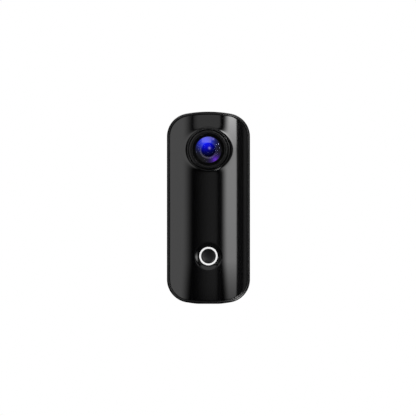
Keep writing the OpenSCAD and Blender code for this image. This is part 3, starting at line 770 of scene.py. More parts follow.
def place(thing: bpy.types.Object, paint: Paint, slot: str, body: str, *nodes: str) -> None:
    """Dresses a new piece, lets it ride on a body, and says which nodes it stands for.

    Args:
        thing: the new piece.
        paint: where its material comes from, if it has none yet.
        slot: the record's material slot.
        body: the body that it moves with.
        *nodes: the nodes that it stands for.
    """
    if not thing.data.materials:
        paint.dress(thing, slot)
    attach(thing, body)
    if nodes:
        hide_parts(*nodes)
    faces, stands_for = len(thing.data.polygons), ", ".join(nodes) or "-"
    LOG.info("%s: %d faces, rides on %s, stands for %s", thing.name, faces, body, stands_for)


# ---------------------------------------------------------------- the shells


@dataclass
class BodyShape:
    """The outer shape that both shells share."""

    half_w: float
    height: float
    crown_y: float
    back_y: float
    corner_r: float = 7.55
    end_arc_r: float = 41.5
    foot_cut: float = 0.15
    face_r: float = 30.0
    end_fall: float = 0.9
    end_len: float = 14.0
    front_edge_r: float = 1.0
    edge_w: float = 0.62
    back_edge_r: float = 3.0
    rim_w: float = 0.88
    wall: float = 1.2
    split_z: float = 33.0

    @staticmethod
    def from_frame() -> BodyShape:
        """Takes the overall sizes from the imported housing, and the crown's place from the lens bezel.

        Returns:
            The shape.
        """
        housing, bezel = measured("rear_housing"), measured("lens_bezel")
        return BodyShape(housing.high[0], housing.high[2], bezel.low[1] + BEZEL_PROUD, housing.high[1])

    def face(self, x: Array, z: Array) -> Array:
        """The face: a cylinder about Z, falling back by a square law over the last stretch at each end."""
        to_end = np.minimum(self.height - z, z + self.foot_cut)
        fall = self.end_fall * np.maximum(0.0, 1.0 - to_end / self.end_len) ** 2
        return self.crown_y + self.face_r - np.sqrt(self.face_r**2 - x**2) + fall

    def half_outline(self, upper: bool, side: int = 26, corner: int = 20, end: int = 30) -> Outline:
        """The outline above or below the split: a straight side, a corner arc, the end arc, and the same back.

        Args:
            upper: whether it is the upper half.
            side: points on each straight side.
            corner: points on each corner arc.
            end: points on the end arc.

        Returns:
            An open outline, counter-clockwise, whose two ends lie on the split.
        """
        corner_x = self.half_w - self.corner_r
        rise = math.sqrt((self.end_arc_r - self.corner_r) ** 2 - corner_x**2)
        sweep = math.atan2(rise, corner_x)
        sign = 1 if upper else -1
        end_z = self.height - self.end_arc_r if upper else self.end_arc_r - self.foot_cut
        corner_z = end_z + sign * rise
        end_angles = np.linspace(sweep, math.pi - sweep, end)[1:-1]
        angles = [np.zeros(side), np.linspace(0, sweep, corner), end_angles]
        angles += [math.pi - angles[1][::-1], np.full(side, math.pi)]
        up = np.linspace(self.split_z, corner_z, side, endpoint=False)
        middles = [
            np.stack([np.full(side, corner_x), up], 1),
            np.tile([corner_x, corner_z], (corner, 1)),
            np.tile([0, end_z], (end - 2, 1)),
            np.tile([-corner_x, corner_z], (corner, 1)),
            np.stack([np.full(side, -corner_x), up[::-1]], 1),
        ]
        radii = [np.full(len(a), self.end_arc_r if i == 2 else self.corner_r) for i, a in enumerate(angles)]
        angle, middle, radius = np.concatenate(angles), np.vstack(middles), np.concatenate(radii)
        normals = np.stack([np.cos(angle), sign * np.sin(angle)], 1)
        points = middle + radius[:, None] * normals
        if not upper:
            points, normals = points[::-1], normals[::-1]
        return Outline(points, normals)

    def outline(self) -> Outline:
        """The whole outline: both halves, with the points on the split used once."""
        upper, lower = self.half_outline(True), self.half_outline(False)
        return Outline(
            np.vstack([upper.points[:-1], lower.points[:-1]]),
            np.vstack([upper.normals[:-1], lower.normals[:-1]]),
        )

    def carry_face(
        self, outline: Outline, insets: Array, share: Array, depths: Array, level_at: float | None = None
    ) -> Array:
        """Carries a profile round an outline where part of the depth follows the face.

        Args:
            outline: the outline, open or closed.
            insets: how far each row lies inside it.
            share: 1 where a row's depth is counted from the face, 0 where it is a plain y.
            depths: that depth.
            level_at: the inset where the face is taken from, the same for every row; if None, each row's own.

        Returns:
            Points (S, K, 3).
        """
        flat = outline.points[None] - insets[:, None, None] * outline.normals[None]
        x, z = flat[..., 0], np.maximum(flat[..., 1], 0.0)
        level = flat if level_at is None else (outline.points - level_at * outline.normals)[None]
        y = share[:, None] * self.face(level[..., 0], level[..., 1]) + depths[:, None]
        return np.stack([x, y, z], axis=-1)


@dataclass
class FrontCover:
    """The glossy face, with its lens collar and its button dish in one surface."""

    shape: BodyShape
    lens_z: float
    button_z: float
    seam_y: float
    lip_y: float
    bore_r: float = 6.5
    lip_w: float = 0.42
    fillet: float = 2.4
    flare: float = 0.065
    wall_draft: float = 0.04
    wall_lean: float = 0.45
    lip_round: float = 0.14
    dish_r: float = 4.55
    dish_floor_r: float = 3.4
    hole_r: float = 3.3
    dish_depth: float = 0.36
    fit: float = 0.05
    skirt_t: float = 0.95
    front_wall: float = 1.4
    edge: float = 0.09
    mid_points: int = 44
    far_points: int = 30
    lip_points: int = 6
    boss_t: float = 1.1
    lens_boss: float = 3.9
    button_boss: float = 1.8

    def block(self, work: Patchwork, upper: bool) -> None:
        """Adds the upper block, round the lens, or the lower block, round the button.

        Rays run from the hole's centre to the block's boundary. Near the hole their points lie on circles, and
        further out they are shared evenly along the ray.

        Args:
            work: the patchwork that is added to.
            upper: which block.
        """
        shape = self.shape
        half = shape.half_outline(upper)
        loop = self.border(half, shape.rim_w + self.fit + self.edge)
        centre = np.array([0.0, self.lens_z if upper else self.button_z])
        away = loop - centre
        far = np.linalg.norm(away, axis=1)
        ray = away / far[:, None]
        radii, weight, level = self.collar_rows() if upper else self.dish_rows()
        on_wall = centre + (self.bore_r + self.lip_w) * ray
        drop = shape.face(on_wall[:, 0], on_wall[:, 1]) - shape.crown_y if upper else 0 * far
        leans = (np.arange(len(radii)) >= 2 * self.lip_points) * self.wall_lean if upper else 0 * radii
        spread = radii[:, None] + leans[:, None] * drop[None]
        on_circles = centre + spread[..., None] * ray[None]
        share = np.linspace(0, 1, self.far_points)[1:, None]
        beyond = centre + (spread[-1] + (far[None] - spread[-1]) * share)[..., None] * ray[None]
        flat = np.concatenate([on_circles, beyond])
        weight = np.concatenate([weight, np.zeros(len(share))])[:, None]
        level = np.concatenate([level, np.zeros(len(share))])[:, None]
        y = (1 - weight) * shape.face(flat[..., 0], flat[..., 1]) + level
        work.add(np.stack([flat[..., 0], y, flat[..., 1]], axis=-1))
        inner = self.border(half, shape.rim_w + self.fit + self.skirt_t)
        self.inside(work, upper, centre, ray, inner, radii[0])
        self.skirt(work, half)

    def border(self, half: Outline, inset: float) -> Array:
        """A block's boundary: the outline moved inward, then back to its start along the split."""
        rim = half.points - inset * half.normals
        across = np.linspace(rim[-1, 0], rim[0, 0], self.mid_points)[1:-1]
        return np.vstack([rim, np.stack([across, np.full(len(across), self.shape.split_z)], 1)])

    def collar_rows(self) -> tuple[Array, Array, Array]:
        """The collar from its bore outwards: a rounded lip, an upright wall, and a flare that dies away.

        The flare's height at u from the wall is a times (ln(U / u) - 1.5 + 2 u / U - u squared / (2 U squared)),
        so its slope is a / u times the square of (1 - u / U), with a the flare and U its width.

        Returns:
            Radius, weight and level of each row. A row with weight 1 lies at the level; otherwise the level is
            how far it stands out from the face.
        """
        bore, lip, turn = self.bore_r, self.bore_r + self.lip_w, self.lip_round
        quarter = np.linspace(0, math.pi / 2, self.lip_points)
        radii = [bore + turn * (1 - np.cos(quarter)), lip - turn * (1 - np.sin(quarter))]
        levels = [self.lip_y + turn * (1 - np.sin(quarter)), self.lip_y + turn * (1 - np.cos(quarter))]
        u = self.fillet * np.linspace(0.13, 1.0, 34) ** 2
        part = u / self.fillet
        height = self.flare * (np.log(self.fillet / u) - 1.5 + 2 * u / self.fillet - part**2 / 2)
        radii.append(lip + self.wall_draft - u[0] + u)
        levels.append(-height)
        weight = np.concatenate([np.ones(2 * self.lip_points), np.zeros(len(u))])
        return np.concatenate(radii), weight, np.concatenate(levels)

    def dish_rows(self) -> tuple[Array, Array, Array]:
        """The dish from its hole outwards: a floor that follows the face, then a cone with eased ends.

        Returns:
            Radius, weight and level of each row, as for the collar; the level is how deep it lies under the
            face.
        """
        radii = np.concatenate([[self.hole_r], np.linspace(self.dish_floor_r - 0.05, self.dish_r + 0.15, 20)])
        cone = np.clip(1 - (radii - self.dish_floor_r) / (self.dish_r - self.dish_floor_r), 0, 1)
        return radii, np.zeros(len(radii)), self.dish_depth * (0.85 * cone + 0.15 * smooth_step(cone))

    def inside(
        self, work: Patchwork, upper: bool, centre: Array, ray: Array, border: Array, hole_r: float
    ) -> None:
        """Adds the cover's inner face, the ring round the hole and the hole's wall.

        Args:
            work: the patchwork that is added to.
            upper: which block.
            centre: centre of the hole.
            ray: unit directions from it.
            border: where the inner face ends, one point for each ray.
            hole_r: radius of the hole.
        """
        shape = self.shape
        deep = self.lip_y + self.lens_boss if upper else shape.crown_y + self.button_boss
        boss_r = hole_r + self.boss_t
        rim = centre + hole_r * ray
        lip = np.full(len(ray), self.lip_y + self.lip_round)
        start = lip if upper else shape.face(rim[:, 0], rim[:, 1]) + self.dish_depth
        circles = centre + np.array([hole_r, hole_r, boss_r])[:, None, None] * ray[None]
        y = np.stack([start, 0 * start + deep, 0 * start + deep])
        work.add(np.stack([circles[..., 0], y, circles[..., 1]], axis=-1))
        share = np.linspace(0, 1, 8)[:, None, None]
        flat = (1 - share) * (centre + boss_r * ray)[None] + share * border[None]
        inner = shape.face(flat[..., 0], flat[..., 1]) + self.front_wall
        inner[0] = deep
        work.add(np.stack([flat[..., 0], inner, flat[..., 1]], axis=-1))

    def skirt(self, work: Patchwork, half: Outline) -> None:
        """Adds the skirt that runs back from the face's edge, inside the housing's rim.

        Args:
            work: the patchwork that is added to.
            half: the outline of this half.
        """
        outer = self.shape.rim_w + self.fit
        turn = np.linspace(0, math.pi / 2, 5)
        inner = outer + self.skirt_t
        insets = np.concatenate([outer + self.edge * (1 - np.sin(turn)), [outer, inner, inner]])
        share = np.concatenate([np.ones(5), [0, 0, 1]])
        depths = np.concatenate([self.edge * (1 - np.cos(turn)), [self.seam_y, self.seam_y, self.front_wall]])
        work.add(self.shape.carry_face(half, insets, share, depths), round_columns=False)

    def build(self, paint: Paint) -> None:
        """Builds the cover and places it.

        Args:
            paint: where its finish comes from.
        """
        work = Patchwork()
        self.block(work, True)
        self.block(work, False)
        place(work.build("gloss_front_cover"), paint, "gloss_cover", ROOT, "front_cover")


@dataclass
class RearHousing:
    """The satin shell: rim, sides, back, the port bay, and the small holes."""

    shape: BodyShape
    seam_y: float
    ledge_t: float = 0.9
    pad_inset: float = 3.6
    pad_seat: float = 0.35
    back_wall: float = 1.3
    skirt_in: float = 1.88
    door_gap: float = 0.12
    door_degrees: float = 110.0
    pocket_r: float = 1.1
    mouth_size: tuple[float, float] = (3.3, 9.1)
    mouth_r: float = 1.6
    mouth_depth: float = 1.5
    key_gap: float = 0.2
    speaker_pitch: tuple[float, float] = (1.1, 1.3)
    speaker_hole_r: float = 0.4
    microphone_hole_r: float = 0.5

    def profile(self) -> tuple[Array, Array, Array]:
        """The wall's section from the inside of the back, round the rim, to the pad's recess.

        Returns:
            Inset, share and depth of each row, as BodyShape.carry_face takes them.
        """
        s = self.shape
        turn = np.linspace(0, math.pi / 2, 10)
        inner_r = s.back_edge_r - s.wall
        inside_y = s.back_y - self.back_wall
        rows = [(s.wall + inner_r + 1.0, 0, inside_y)]
        rows += [
            (s.wall + inner_r * (1 - math.sin(a)), 0, inside_y - inner_r * (1 - math.cos(a))) for a in turn
        ]
        ledge = self.seam_y + self.ledge_t
        rows += [(s.wall, 0, ledge), (self.skirt_in, 0, ledge)]
        rows += [(self.skirt_in, 0, self.seam_y), (s.rim_w, 0, self.seam_y)]
        rows += [(s.rim_w, 1, 0.1), (s.rim_w - 0.02, 1, 0.04)]
        rows += [(s.rim_w - 0.06, 1, 0.01), (s.rim_w - 0.1, 1, 0.0)]
        round_in = np.linspace(0, math.pi / 2, 14)
        rows += [(s.edge_w * (1 - math.sin(a)), 1, s.front_edge_r * (1 - math.cos(a))) for a in round_in]
        rows += [(0, 0, s.back_y - s.back_edge_r - 4.0)]
        edge_r, seat_y = s.back_edge_r, s.back_y - self.pad_seat
        rows += [(edge_r * (1 - math.cos(a)), 0, s.back_y - edge_r * (1 - math.sin(a))) for a in turn]
        rows += [(self.pad_inset - 0.1, 0, s.back_y), (self.pad_inset - 0.02, 0, s.back_y - 0.04)]
        rows += [(self.pad_inset, 0, s.back_y - 0.12), (self.pad_inset, 0, seat_y), (4.6, 0, seat_y)]
        table = np.array(rows, float)
        return table[:, 0], table[:, 1], table[:, 2]

    def build(self, paint: Paint) -> None:
        """Builds the shell, adds the bay's block, cuts the openings, and places it.

        Args:
            paint: where its finish comes from.
        """
        grid = self.shape.carry_face(self.shape.outline(), *self.profile(), level_at=self.shape.rim_w)
        shell = solid("satin_rear_housing", grid)
        combine(shell, self.bay_block(), Operation.JOIN)
        for cutter in self.door_cutters() + self.bay_cutters() + self.small_cutters():
            combine(shell, cutter, Operation.CUT)
        place(shell, paint, "satin_housing", ROOT, "rear_housing")

    def bay_block(self) -> bpy.types.Object:
        """The block inside the wall that the port bay is cut into.

        Returns:
            The block.
        """
        door, socket = measured("port_door"), measured("usb_receptacle")
        s = self.shape
        low = (socket.high[0] - 0.5, door.low[1] - 0.35, door.low[2] - 0.8)
        high = (s.half_w - s.wall + 0.35, door.high[1] + 0.35, door.high[2] + 0.8)
        return box_solid(low, high)

    def door_cutters(self) -> list[bpy.types.Object]:
        """The door's pocket, the room round its barrel, and the room that it needs when it is open.

        Returns:
            The three solids.
        """
        gap, door, pin = self.door_gap, measured("port_door"), measured("door_hinge_pin")
        hinge = (pin.middle(0), pin.middle(1))
        barrel_r = self.shape.half_w - hinge[0]
        size = (hinge[1] - door.low[1] + 2 * gap, door.size(2) + 2 * gap)
        middle = ((hinge[1] + door.low[1]) / 2, door.middle(2))
        pocket = Outline.rounded_rect(middle, size, self.pocket_r + gap, 8)
        return [
            side_prism(pocket, door.high[0] - DOOR_T - 0.1, self.shape.half_w + 1),
            rod_solid(2, hinge, barrel_r + gap, (door.low[2] - 1.5 * gap, door.high[2] + 1.5 * gap)),
            self.door_relief(hinge, barrel_r, door.low[2] - 2 * gap, door.high[2] + 2 * gap),
        ]

    def bay_cutters(self) -> list[bpy.types.Object]:
        """The bay behind the door and its seal, the socket's mouth and the card's mouth.

        Returns:
            The three solids.
        """
        usb, card, seal = measured("usb_receptacle"), measured("memory_card"), measured("door_seal")
        wall_x, bay_x, mouth_x = self.shape.half_w, usb.high[0], usb.high[0] - self.mouth_depth
        mouth = Outline.rounded_rect((usb.middle(1), usb.middle(2)), self.mouth_size, self.mouth_r, 12)
        bay_low = (bay_x, seal.low[1] - 0.3, seal.low[2] - 0.3)
        bay_high = (wall_x, seal.high[1] + 0.4, seal.high[2] + 0.3)
        slit_low = (mouth_x, card.low[1] - 0.15, card.low[2] - 0.2)
        slit_high = (wall_x, card.high[1] + 0.2, card.high[2] + 0.2)
        return [
            box_solid(bay_low, bay_high),
            side_prism(mouth, mouth_x, wall_x),
            box_solid(slit_low, slit_high),
        ]

    def small_cutters(self) -> list[bpy.types.Object]:
        """The side key's slot, three rows of five speaker holes, and the microphone's hole.

        Returns:
            The solids.
        """
        key, speaker, microphone = measured("mode_key"), measured("speaker"), measured("microphone")
        span = (-self.shape.half_w - 1, -self.shape.half_w + 2)
        size = (KEY_SIZE[0] + self.key_gap, KEY_SIZE[1] + self.key_gap)
        slot = Outline.rounded_rect((key.middle(1), key.middle(2)), size, 1.24, 14)
        cut = [side_prism(slot, *span)]
        across, up = self.speaker_pitch
        for row in (-1, 0, 1):
            for hole in range(-2, 3):
                centre = (speaker.middle(1) + row * across, speaker.middle(2) + hole * up)
                cut.append(rod_solid(0, centre, self.speaker_hole_r, span))
        top = (self.shape.height - 2.2, self.shape.height + 1)
        return cut + [rod_solid(2, (0.0, microphone.middle(1)), self.microphone_hole_r, top)]

    def door_relief(
        self, hinge: tuple[float, float], barrel_r: float, low_z: float, high_z: float
    ) -> bpy.types.Object:
        """The room behind the hinge that the open door needs: a plate turned to the door's full angle.

        Args:
            hinge: the hinge's x and y.
            barrel_r: radius of its barrel.
            low_z: lower end.
            high_z: upper end.

        Returns:
            The plate.
        """
        plate = box_solid((-0.3, -2.0, low_z), (barrel_r + 1.5 * self.door_gap, 0.0, high_z))
        points = np.array([v.co for v in plate.data.vertices]) / MM
        turn = math.radians(self.door_degrees)
        x = hinge[0] + points[:, 0] * math.cos(turn) - points[:, 1] * math.sin(turn)
        y = hinge[1] + points[:, 0] * math.sin(turn) + points[:, 1] * math.cos(turn)
        plate.data.vertices.foreach_set("co", (np.stack([x, y, points[:, 2]], 1) * MM).ravel())
        plate.data.update()
        return plate


@dataclass
class OuterPieces:
    """The pad, the door and the side key."""

    shape: BodyShape
    pad_inset: float = 3.7
    barrel_r: float = 0.6
    bore_r: float = 0.35

    def back_pad(self, paint: Paint) -> None:
        """Builds the pad: a rounded edge, a shallow groove inside it, and a flat field.

        Args:
            paint: where its finish comes from.
        """
        pad = measured("back_pad")
        outline = self.shape.outline()
        base, top, start = pad.low[1], pad.high[1], self.pad_inset
        rows = [(start, base), (start, top - 0.14), (start + 0.04, top - 0.05), (start + 0.14, top)]
        rows += [(start + 0.9, top), (start + 1.0, top - 0.1), (start + 1.2, top - 0.1)]
        rows += [(start + 1.3, top), (start + 2.2, top)]
        grid = outline.carry(np.array(rows))
        place(solid("rubber_back_pad", grid), paint, "pad_rubber", ROOT, "back_pad")

    def port_door(self, paint: Paint) -> None:
        """Builds the door: a plate with rounded edges and its hinge barrel, bored for the pin.

        Args:
            paint: where its finish comes from.
        """
        door, pin = measured("port_door"), measured("door_hinge_pin")
        hinge = (pin.middle(0), pin.middle(1))
        inner, outer = door.high[0] - DOOR_T, door.high[0]
        size = (hinge[1] - door.low[1], door.size(2))
        middle = ((hinge[1] + door.low[1]) / 2, door.middle(2))
        outline = Outline.rounded_rect(middle, size, 0.62, 10)
        edge = np.linspace(0, math.pi / 2, 5)
        rows = [(0, inner)] + [(0.14 * (1 - math.cos(a)), outer - 0.14 * (1 - math.sin(a))) for a in edge]
        plate = solid("satin_port_door", outline.carry(np.array(rows), Plane.YZ))
        combine(plate, rod_solid(2, hinge, self.barrel_r, (door.low[2], door.high[2])), Operation.JOIN)
        combine(plate, rod_solid(2, hinge, self.bore_r, (door.low[2] - 1, door.high[2] + 1)), Operation.CUT)
        for rib in (-1, 0, 1):
            z = middle[1] + rib * 0.9
            cut = rod_solid(1, (outer + 0.12, z), 0.22, (door.low[1] - 0.5, door.low[1] + 1.5))
            combine(plate, cut, Operation.CUT)
        place(plate, paint, "satin_housing", "port_door", "port_door")

    def mode_key(self, paint: Paint) -> None:
        """Builds the side key: a pill with a rounded edge and a shallow dish, on a wider flange and a stem.

        Args:
            paint: where its finish comes from.
        """
        key = measured("mode_key")
        centre = (key.middle(1), key.middle(2))
        face, inside = -self.shape.half_w, -self.shape.half_w + self.shape.wall
        pill = Outline.rounded_rect(centre, KEY_SIZE, 1.149, 18)
        rows = [(0, inside + 0.3), (0, face + 0.16), (0.04, face + 0.05)]
        rows += [(0.16, face), (0.4, face), (0.8, face + 0.08)]
        cap = solid("satin_mode_key", pill.carry(np.array(rows), Plane.YZ))
        flange = Outline.rounded_rect(centre, (3.5, 7.8), 1.749, 18)
        combine(cap, side_prism(flange, inside + 0.1, inside + 0.4), Operation.JOIN)
        combine(cap, rod_solid(0, centre, 0.7, (inside + 0.3, key.high[0])), Operation.JOIN)
        place(cap, paint, "button_black", "mode_key", "mode_key")

    def build(self, paint: Paint) -> None:
        """Builds all three.

        Args:
            paint: where its finish comes from.
        """
        self.back_pad(paint)
        self.port_door(paint)
        self.mode_key(paint)


# ---------------------------------------------------------------- lens and button


@dataclass
class LensFront:
    """What shows of the lens: the bezel, the domed glass and the coated face behind it, which carries painted
    reflections and painted highlights.
    """

    lens_z: float
    front_y: float
    glass_r: float = 4.25
    dome_r: float = 12.0
    glass_t: float = 1.1
    bezel_r: float = 6.3
    baffle_r: float = 5.2
    baffle_gap: float = 0.02
    stair_count: int = 6
    stair_drop: float = 0.86
    stair_rise: float = 0.8

    def bezel(self, paint: Paint) -> None:
        """Builds the bezel, a ring with a turned bevel, and the matt stepped baffle between it and the glass.

        Args:
            paint: where its finish comes from.
        """
        back = measured("lens_bezel").high[1]
        y, inner = self.front_y, self.baffle_r
        ringed = [(inner, y + 0.06), (inner + 0.1, y), (self.bezel_r - 0.34, y), (self.bezel_r, y + 0.14)]
        ringed += [(self.bezel_r, back), (inner, back)]
        profile = rounded_path(ringed, 0.05, 5)
        bezel = ring("lens_bezel_ring", revolve(profile, self.lens_z, 160))
        place(bezel, paint, "bezel_black", ROOT, "lens_bezel")
        top, bottom, steps = y + 0.12, y + 1.3, self.stair_count
        stairs = [(inner, top)]
        for k in range(1, steps):
            radius = inner - (inner - self.glass_r - self.baffle_gap) * k / steps
            stairs += [(radius, top + self.stair_drop * k / steps)]
            stairs += [(radius, top + self.stair_drop * (k + self.stair_rise) / steps)]
        stairs += [(self.glass_r + self.baffle_gap, bottom), (inner, bottom)]
        baffle = ring("matt_lens_baffle", revolve(rounded_path(stairs, 0.02, 3), self.lens_z))
        place(baffle, paint, "barrel_black", ROOT)

    def front_glass(self, paint: Paint) -> None:
        """Builds the front element: two caps of spheres about one centre, joined by a ground edge.

        Args:
            paint: where its finish comes from.
        """
        apex = measured("front_element").low[1]
        tilt = np.linspace(0, math.asin(self.glass_r / self.dome_r), 28)
        dome = np.stack([self.dome_r * np.sin(tilt), apex + self.dome_r * (1 - np.cos(tilt))], 1)
        back_r = self.dome_r - self.glass_t
        turn = np.linspace(math.asin(self.glass_r / back_r), 0, 20)
        hollow = np.stack([back_r * np.sin(turn), apex + self.dome_r - back_r * np.cos(turn)], 1)
        glass = turned("front_glass_dome", np.vstack([dome, hollow]), self.lens_z)
        place(glass, paint, "front_glass", ROOT, "front_element")

    def painted_reflection_face(self, paint: Paint) -> None:
        """Builds the coated face: a cap just behind the dome, about the same centre, coloured point by point
        with painted reflections and painted highlights that it gives out as light.

        Args:
            paint: where its finish comes from.
        """
        node = measured("front_element")
        ball, radius = self.dome_r - self.glass_t - 0.03, self.glass_r - 0.03
        tilt = np.linspace(0, math.asin(radius / ball), 84)
        cap = np.stack([ball * np.sin(tilt), node.low[1] + self.dome_r - ball * np.cos(tilt)], 1)
        profile = np.vstack([cap, [(radius, node.high[1] - 0.02), (0, node.high[1] - 0.02)]])
        thing = turned("lens_painted_reflection_face", profile, self.lens_z, 180)
        count = len(thing.data.vertices)
        points = np.empty(count * 3)
        thing.data.vertices.foreach_get("co", points)
        points = points.reshape(-1, 3) / MM
        # painted reflections and painted highlights, one colour per point
        coating = PaintedLensReflections()
        colour = np.ones((count, 4), np.float32)
        colour[:, :3] = coating.field(points[:, 0], points[:, 2] - self.lens_z)
        attribute = thing.data.attributes.new("coating", "FLOAT_COLOR", "POINT")
        attribute.data.foreach_set("color", colour.ravel())
        thing.data.materials.append(coating.material())
        place(thing, paint, "inner_glass", ROOT)

    def build(self, paint: Paint) -> None:
        """Builds all three.

        Args:
            paint: where its finish comes from.
        """
        self.bezel(paint)
        self.front_glass(paint)
        self.painted_reflection_face(paint)


@dataclass
class ShutterButton:
    """The dished cap and the light ring round it."""

    button_z: float
    ring_r: tuple[float, float] = (2.34, 3.08)
    face_r: tuple[float, float] = (2.41, 2.98)
    cap_r: float = 2.2
    stem_r: float = 0.9
    flange_t: float = 0.4

    def cap(self, paint: Paint) -> None:
        """Builds the cap: a shallow dish with a rounded rim, on its flange and stem.

        Args:
            paint: where its finish comes from.
        """
        node = measured("button_cap")
        radius, front, back = self.cap_r, node.low[1], node.high[1]
        flange_r, flange = node.size(0) / 2, back - 1.1
        under = flange + self.flange_t
        dish = [(radius * k / 8, front + 0.26 * (1 - (k / 8) ** 2)) for k in range(8)]
        rest = [(radius - 0.16, front), (radius, front + 0.16), (radius, flange), (flange_r, flange)]
        rest += [(flange_r, under), (self.stem_r, under), (self.stem_r, back), (0, back)]
        cap = turned("dished_button_cap", rounded_path(dish + rest, 0.05, 4, closed=False), self.button_z)
        place(cap, paint, "button_black", "shutter_button", "button_cap")

    def light(self, paint: Paint) -> None:
        """Builds the light ring: a softly crowned white face on a black sleeve, so only its face shines.

        Args:
            paint: where its finish comes from.
        """
        node = measured("light_ring")
        (inner, outer), (near, far) = self.ring_r, self.face_r
        front, back, flange_r = node.low[1], node.high[1], node.size(0) / 2
        joint, flange = front + 0.12, back - self.flange_t
        face = [(near, front + 0.02), (near + 0.1, front), (far - 0.1, front), (far, front + 0.02)]
        face += [(far, joint), (near, joint)]
        guide = ring("white_light_ring", revolve(rounded_path(face, 0.02, 3), self.button_z))
        place(guide, paint, "light_white", ROOT, "light_ring")
        corners = [(inner, back), (inner, joint), (outer, joint), (outer, flange)]
        corners += [(flange_r, flange), (flange_r, back)]
        sleeve = ring("light_ring_sleeve", revolve(rounded_path(corners, 0.03, 3), self.button_z))
        place(sleeve, paint, "barrel_black", ROOT)

    def build(self, paint: Paint) -> None:
        """Builds both.

        Args:
            paint: where its finish comes from.
        """
        self.cap(paint)
        self.light(paint)


# ---------------------------------------------------------------- studio


@dataclass(frozen=True)
class SoftPanel:
    """A lit panel on a sphere; angles in degrees, azimuth 0 towards the camera, radius and centre in metres."""

    name: str
    azimuth: tuple[float, float]
    elevation: tuple[float, float]
    level: float
    soft_azimuth: tuple[float, float] = (4.0, 4.0)
    soft_elevation: tuple[float, float] = (4.0, 4.0)
    rise: float = 0.0
    drop: float = 0.0
    taper: tuple[float, float] = (0.0, 0.0)
    radius: float = 1.2
    centre: tuple[float, float, float] = (0.0, 0.0, 0.03112)

    def build(self) -> None:
        """Builds the panel. Its glow is its level, eased at the edges, and changes by powers of e with height.

        Its edge nearer the middle moves outward by its taper for each degree up or down.
        """
        azimuth, elevation = np.meshgrid(np.linspace(*self.azimuth, 60), np.linspace(*self.elevation, 60))
        a, e = np.radians(azimuth), np.radians(elevation)
        grid = np.stack([np.cos(e) * np.sin(a), -np.cos(e) * np.cos(a), np.sin(e)], -1) * self.radius
        grid = grid + np.array(self.centre)
        thing = Patchwork().add(grid / MM, round_columns=False)
        mesh = bpy.data.meshes.new(self.name)
        mesh.from_pydata((thing.points[0] * MM).tolist(), [], thing.faces)
        taper = np.where(elevation > 0, self.taper[0], self.taper[1]) * np.abs(elevation)
        on_right = self.azimuth[1] > 0
        left = self.azimuth[0] + (taper if on_right else 0)
        right = self.azimuth[1] - (0 if on_right else taper)
        edges = smooth_step((azimuth - left) / self.soft_azimuth[0])
        edges = edges * smooth_step((right - azimuth) / self.soft_azimuth[1])
        edges = edges * smooth_step((elevation - self.elevation[0]) / self.soft_elevation[0])
        edges = edges * smooth_step((self.elevation[1] - elevation) / self.soft_elevation[1])
        slope = np.where(elevation > 0, self.rise, self.drop) * elevation
        glow = self.level * edges * np.exp(np.clip(slope, -3, 1.7))
        attribute = mesh.attributes.new("glow", "FLOAT", "POINT")
        attribute.data.foreach_set("value", glow.ravel().astype(np.float32))
        panel = bpy.data.objects.new(self.name, mesh)
        bpy.context.scene.collection.objects.link(panel)
        panel.data.materials.append(self.material())
        panel.visible_camera = False
        panel.visible_shadow = False

    def material(self) -> bpy.types.Material:
        """Builds the material: plain emission whose strength is the panel's own glow.

        Returns:
            The material.
        """
        mix = Mixture(self.name, {})
        mix.nodes.clear()
        shine, glow = mix.add("ShaderNodeEmission"), mix.add("ShaderNodeAttribute")
        glow.attribute_name = "glow"
        mix.join(glow.outputs["Fac"], shine, "Strength")
        mix.join(shine.outputs["Emission"], mix.add("ShaderNodeOutputMaterial"), "Surface")
        return mix.material


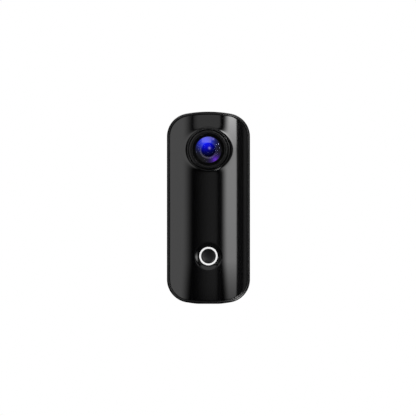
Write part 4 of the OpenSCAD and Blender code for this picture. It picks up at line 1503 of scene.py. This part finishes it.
@dataclass
class Studio:
    """The camera, the panels, the white floor and the white surroundings."""

    centre: tuple[float, float] = (-0.00015, 0.03112)
    distance: float = 3.0
    lens: float = 798.0
    surround: float = 0.055

    def camera(self) -> None:
        """Puts a long lens straight in front of the face."""
        data = bpy.data.cameras.new("camera")
        data.lens = self.lens
        data.clip_end = 20
        camera = bpy.data.objects.new("camera", data)
        camera.location = (self.centre[0], -self.distance, self.centre[1])
        camera.rotation_euler = (math.pi / 2, 0, 0)
        bpy.context.scene.collection.objects.link(camera)
        bpy.context.scene.camera = camera
        bpy.context.scene.view_settings.view_transform = "Standard"

    def panels(self) -> list[SoftPanel]:
        """The panels: a tall key on the right with one hard edge, a wide dim one on the left, and others."""
        return [
            SoftPanel("right_key", (15.3, 36.3), (-40, 31), 4.7, (9.5, 1), (14, 4), 0.055, 0.09, (0.27, 0.27)),
            SoftPanel("left_key", (-63, -19.2), (-40, 50), 1.52, (11, 14.5), (12, 12), taper=(0.0, 0.3)),
            SoftPanel("front_glow", (-20, 14), (-24, 6.5), 0.24, (25, 6), (16, 6)),
            SoftPanel("brow", (-24, 19), (3.2, 22.2), 0.83, (12, 6), (6, 2)),
            SoftPanel("window", (-26, 45), (24, 60), 0.9, (4, 10), (4, 4)),
            SoftPanel("right_edge", (43, 60), (-30, 30), 0.3, (4, 6), (8, 8)),
            SoftPanel(
                "corner_kicker", (40, 82), (-58, -22), 20.0, (6, 8), (6, 6),
                radius=0.04, centre=(0.012, -0.008, 0.004),
            ),
            SoftPanel("back_left", (-165, -115), (30, 80), 2.6, (14, 14), (12, 10)),
            SoftPanel("back_right", (115, 165), (30, 80), 3.2, (14, 14), (12, 10)),
        ]

    def floor(self) -> None:
        """A wide white floor under the object, which lights nothing and isn't mirrored in the gloss."""
        mesh = bpy.data.meshes.new("floor")
        mesh.from_pydata([(-6, -6, 0), (6, -6, 0), (6, 6, 0), (-6, 6, 0)], [], [(0, 1, 2, 3)])
        floor = bpy.data.objects.new("floor", mesh)
        bpy.context.scene.collection.objects.link(floor)
        values = {"Base Color": (0, 0, 0, 1), "Specular IOR Level": 0.0}
        shine = {"Emission Color": (1, 1, 1, 1), "Emission Strength": 1.0}
        mesh.materials.append(Mixture("floor", {**values, **shine}).material)
        floor.visible_glossy = False
        floor.visible_diffuse = False

    def world(self) -> None:
        """White behind the object, and dim grey all round for everything but the camera."""
        world = bpy.data.worlds.new("studio")
        bpy.context.scene.world = world
        world.use_nodes = True
        nodes, links = world.node_tree.nodes, world.node_tree.links
        background = nodes["Background"]
        path = nodes.new("ShaderNodeLightPath")
        level = nodes.new("ShaderNodeMapRange")
        level.inputs["To Min"].default_value = self.surround
        level.inputs["To Max"].default_value = 1.0
        background.inputs["Color"].default_value = (1, 1, 1, 1)
        links.new(path.outputs["Is Camera Ray"], level.inputs["Value"])
        links.new(level.outputs["Result"], background.inputs["Strength"])

    def build(self) -> None:
        """Builds the whole studio."""
        self.camera()
        self.floor()
        self.world()
        for panel in self.panels():
            panel.build()


# ---------------------------------------------------------------- whole camera


def dress_nodes(frame: dict, paint: Paint) -> None:
    """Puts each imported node's finish on it.

    Args:
        paint: where the materials come from.
    """
    for part in frame["record"]["subparts"]:
        node = frame["nodes"][part["node"]]
        material = paint.of(part["material_slot"])
        if not node.material_slots:
            node.data.materials.append(material)
        for slot in node.material_slots:
            slot.material = material


def main() -> None:
    """Loads the frame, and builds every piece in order."""
    logging.basicConfig(level=logging.INFO, format="%(name)s: %(message)s")
    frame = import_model()
    Studio().build()
    paint = Paint()
    dress_nodes(frame, paint)
    shape = BodyShape.from_frame()
    bezel, cap, cover = measured("lens_bezel"), measured("button_cap"), measured("front_cover")
    lens_z, button_z = bezel.middle(2), cap.middle(2)
    seam_y = measured("housing_gasket").middle(1)
    FrontCover(shape, lens_z, button_z, seam_y, cover.low[1]).build(paint)
    RearHousing(shape, seam_y).build(paint)
    OuterPieces(shape).build(paint)
    LensFront(lens_z, bezel.low[1]).build(paint)
    ShutterButton(button_z).build(paint)


if __name__ == "__main__":
    main()
